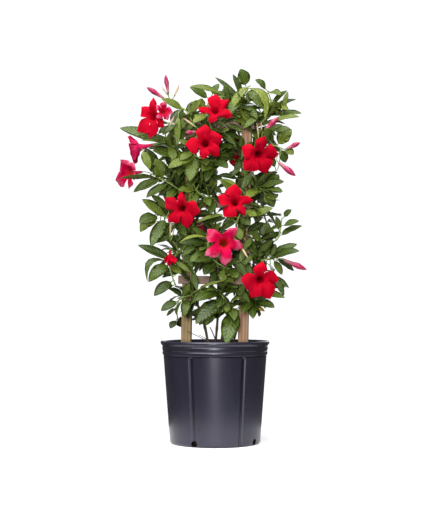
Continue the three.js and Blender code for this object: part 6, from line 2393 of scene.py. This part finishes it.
@dataclass
class Bloom:
    """An open flower: a slender tube, a funnel, and five lobes skewed like a pinwheel's that overlap."""

    name: str
    shape: BloomShape
    finish: Material
    seed: int
    lip: float = 15
    skin: float = 0.55
    rows: int = 8
    columns: int = 9
    inner_run: float = 0.36
    half_lobe: float = 36
    tilt: Pair = (5.6, 3.6)
    ripple: float = 2.6
    belly: float = 3.4
    droop: Pair = (1, 8)
    tube: tuple[Pair, ...] = (
        (1.6, 1.0), (2.3, 0.97), (2.7, 0.88), (3.0, 0.76), (3.9, 0.56), (5.1, 0.36), (6.3, 0.22), (7.7, 0.125),
        (9.5, 0.065), (11.9, 0.025), (15.0, 0.0),
    )
    margin: tuple[Triple, ...] = (
        (-1.0, 0.62, -36), (-0.75, 0.76, -31), (-0.5, 0.86, -22), (-0.25, 0.93, -11), (0.0, 1.01, 0),
        (0.25, 1.17, 8), (0.5, 0.93, 20), (0.75, 0.73, 31), (1.0, 0.52, 38),
    )

    def lobe_point(self, lobe: int, across: float, out: float) -> Vector:
        """Give a point of a lobe.

        Args:
            lobe: The lobe's number.
            across: From -1 at its left side to 1 at its right.
            out: From 0 at the lip to 1 at the margin.

        Returns:
            The point.
        """
        shape, size = self.shape, self.shape.size
        cup = radians(shape.cup)
        shift, stretch, width = shape.petals[lobe]
        places, reaches, turns = zip(*self.margin, strict=True)
        reach = mix(float(np.interp(across, places, reaches)), 1.0, shape.join) * stretch
        reach *= 1 - 0.35 * max(1 - width, 0) * abs(across - 0.25)
        turn = shift + float(np.interp(across, places, turns)) * width * shape.slim
        lip = self.lip * size * shape.flare
        full = shape.across / 2 - lip
        eased = smooth(0.1, 0.95, out)
        run = reach * full * out
        angle = mix(self.half_lobe * across, turn, eased)
        chance = draw(self.seed, lobe, 3)
        tilt = -across * (self.tilt[0] + self.tilt[1] * chance) * size * out * (1 - 0.3 * out)
        ripple = sin(across * 4.6 + lobe * 2.1 + self.seed) * self.ripple * size * out**2
        belly = self.belly * size * sin(pi * out) * (1 - across * across * 0.8)
        droop = -(self.droop[0] + self.droop[1] * chance) * size * out**2
        up = (tilt + ripple + belly + droop) * (full / (30 * size))
        middle = shape.spin + (2 * lobe + 1) * self.half_lobe
        radius = lip + run * cos(cup) - up * sin(cup)
        return shape.place(radius, middle + angle, run * sin(cup) + up * cos(cup))

    def build(self) -> None:
        """Make the flower as one closed shell."""
        shape, size = self.shape, self.shape.size
        ring = (self.columns - 1) * 5
        points, data = [shape.place(0, 0, -shape.tube)], [(0.0, 0.0, 0.5, 0.4)]
        for radius, depth in self.tube:
            girth = radius * (size if depth < 0.7 else 1) * shape.flare ** max(0.0, 1 - depth)
            for column in range(ring):
                turn = 360 * column / ring
                wave = 1 - 0.06 * cos(radians(5 * turn)) * (1 - depth)
                points.append(shape.place(girth * wave, shape.spin + turn, -shape.tube * depth))
                flat = cos(radians((shape.spin + turn) * 2.5))
                data.append((self.inner_run * (1 - depth) ** 2, flat, 0.5, 0.4))
        faces = loft([[0], *(range(1 + row * ring, 1 + (row + 1) * ring) for row in range(len(self.tube)))])
        last = len(points) - ring
        for lobe in range(5):
            below = [last + (lobe * (self.columns - 1) + column) % ring for column in range(self.columns)]
            # each lobe's vein seed and its painted lobe shade
            tone, hue = draw(self.seed, lobe) * 9 + lobe, draw(self.seed, lobe, 7)
            for row in range(1, self.rows + 1):
                out = row / self.rows
                here = [len(points) + column for column in range(self.columns)]
                for column in range(self.columns):
                    across = 2 * column / (self.columns - 1) - 1
                    points.append(self.lobe_point(lobe, across, out))
                    data.append((mix(self.inner_run, 1.0, out), across, tone, mix(0.4, hue, smooth(0, 0.5, out))))
                faces += zip(below, here, here[1:], below[1:])
                below = here
        attributes = dict(zip(("run", "flat", "tone", "hue"), zip(*data), strict=True))
        shell = thicken(points, [face[::-1] for face in faces], self.skin * MM, attributes)
        dress(mesh_object(self.name, *shell), f"petal_{shape.tint.value}", [self.name], self.finish, crease=80)


@dataclass
class Flowers:
    """Every open flower and closed bud."""

    finishes: Finishes

    def build(self) -> None:
        """Make them."""
        for seed, (name, shape) in enumerate(BLOOMS.items()):
            Bloom(f"bloom_{name}", shape, self.finishes.petals[shape.tint], seed).build()
        for name, (base, tip, radius) in BUDS.items():
            bud = spindle_body(f"closed_bud_{name}", PICTURE.at(*base), PICTURE.at(*tip), radius, rows=16)
            dress(bud, "bud_pink", [f"bud_{name}"], self.finishes.bud, crease=180)


# Studio


@dataclass
class Studio:
    """Plain pale floor, white surroundings and large soft lights."""

    floor_radius: float = 0.34
    floor_sides: int = 96
    ambient: Pair = (0.1, 0.32)
    sun: float = 5.2
    sun_spread: float = 60.0

    def lamp(self, name: str, kind: str, power: float, place: Vector, target: Vector) -> bpy.types.Light:
        """Hang a light that faces a point.

        Args:
            name: The light's name.
            kind: Its type.
            power: Its power.
            place: Where it hangs.
            target: What it faces.

        Returns:
            The light.
        """
        data = bpy.data.lights.new(name, kind)
        data.energy = power
        lamp = place_object(name, data)
        lamp.location = place
        lamp.rotation_euler = (target - place).to_track_quat("-Z", "Y").to_euler()
        return data

    def softbox(self, name: str, place: Triple, height: float, size: Pair, power: float) -> None:
        """Hang a rectangular soft light that faces the plant at a height."""
        data = self.lamp(name, "AREA", power, Vector(place), UP * height)
        data.shape = "RECTANGLE"
        data.size, data.size_y = size

    def build(self) -> None:
        """Set the floor, the surroundings and the lights."""
        turns = [2 * pi * side / self.floor_sides for side in range(self.floor_sides)]
        rim = [Vector((cos(turn), sin(turn), 0)) * self.floor_radius for turn in turns]
        floor = mesh_object("studio_floor", rim, [range(self.floor_sides)])
        floor.data.materials.append(StudioFinish().material())
        floor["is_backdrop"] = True
        scene = bpy.context.scene
        scene.view_settings.view_transform = "Standard"
        self.surroundings(scene)
        window = self.lamp("high_window", "SUN", self.sun, Vector(), Vector((0.3, 0.62, -1.35)))
        window.angle = radians(self.sun_spread)
        self.softbox("front_softbox", (-0.12, -3.4, 0.58), 0.4, (0.54, 1.05), 90)
        self.softbox("back_softbox", (0.9, 3.2, 1.5), 0.5, (1.6, 1.6), 26)

    def surroundings(self, scene: Scene) -> None:
        """Make the surroundings white where they are seen and softer as a light.

        Args:
            scene: The scene.
        """
        world = bpy.data.worlds.new("studio")
        world.use_nodes = True
        graph = Graph(world.node_tree)
        sky = world.node_tree.nodes["Background"]
        graph.feed(sky.inputs["Color"], (0.97, 0.985, 1.0))
        way = graph.node("ShaderNodeTexCoord").outputs["Generated"]
        rise = graph.math("MAXIMUM", graph.node("ShaderNodeSeparateXYZ", {0: way}).outputs["Z"], 0.0)
        low, high = self.ambient
        glow = graph.math("MULTIPLY_ADD", rise, high - low, low)
        seen = graph.node("ShaderNodeLightPath").outputs["Is Camera Ray"]
        graph.feed(sky.inputs["Strength"], graph.math("MAXIMUM", glow, graph.times(seen, 1.1)))
        scene.world = world


def write_sizes() -> None:
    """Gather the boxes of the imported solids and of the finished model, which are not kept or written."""
    boxes = {"cad": CAD_BOX, "visual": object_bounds()}
    {name: [list(corner) for corner in box] for name, box in boxes.items()}


def main() -> None:
    """Build the whole scene in order."""
    logging.basicConfig(level=logging.INFO, format="%(message)s")
    PICTURE.make_camera()
    finishes = Finishes()
    pot = Pot(finishes.pot)
    pot.build()
    Soil(finishes.soil, pot).build()
    trellis = Trellis(finishes.wood, finishes.steel)
    trellis.build()
    vines = Vines(finishes.bark, trellis)
    vines.build()
    Foliage(finishes, vines).build()
    Flowers(finishes).build()
    Studio().build()
    write_sizes()


if __name__ == "__main__":
    main()
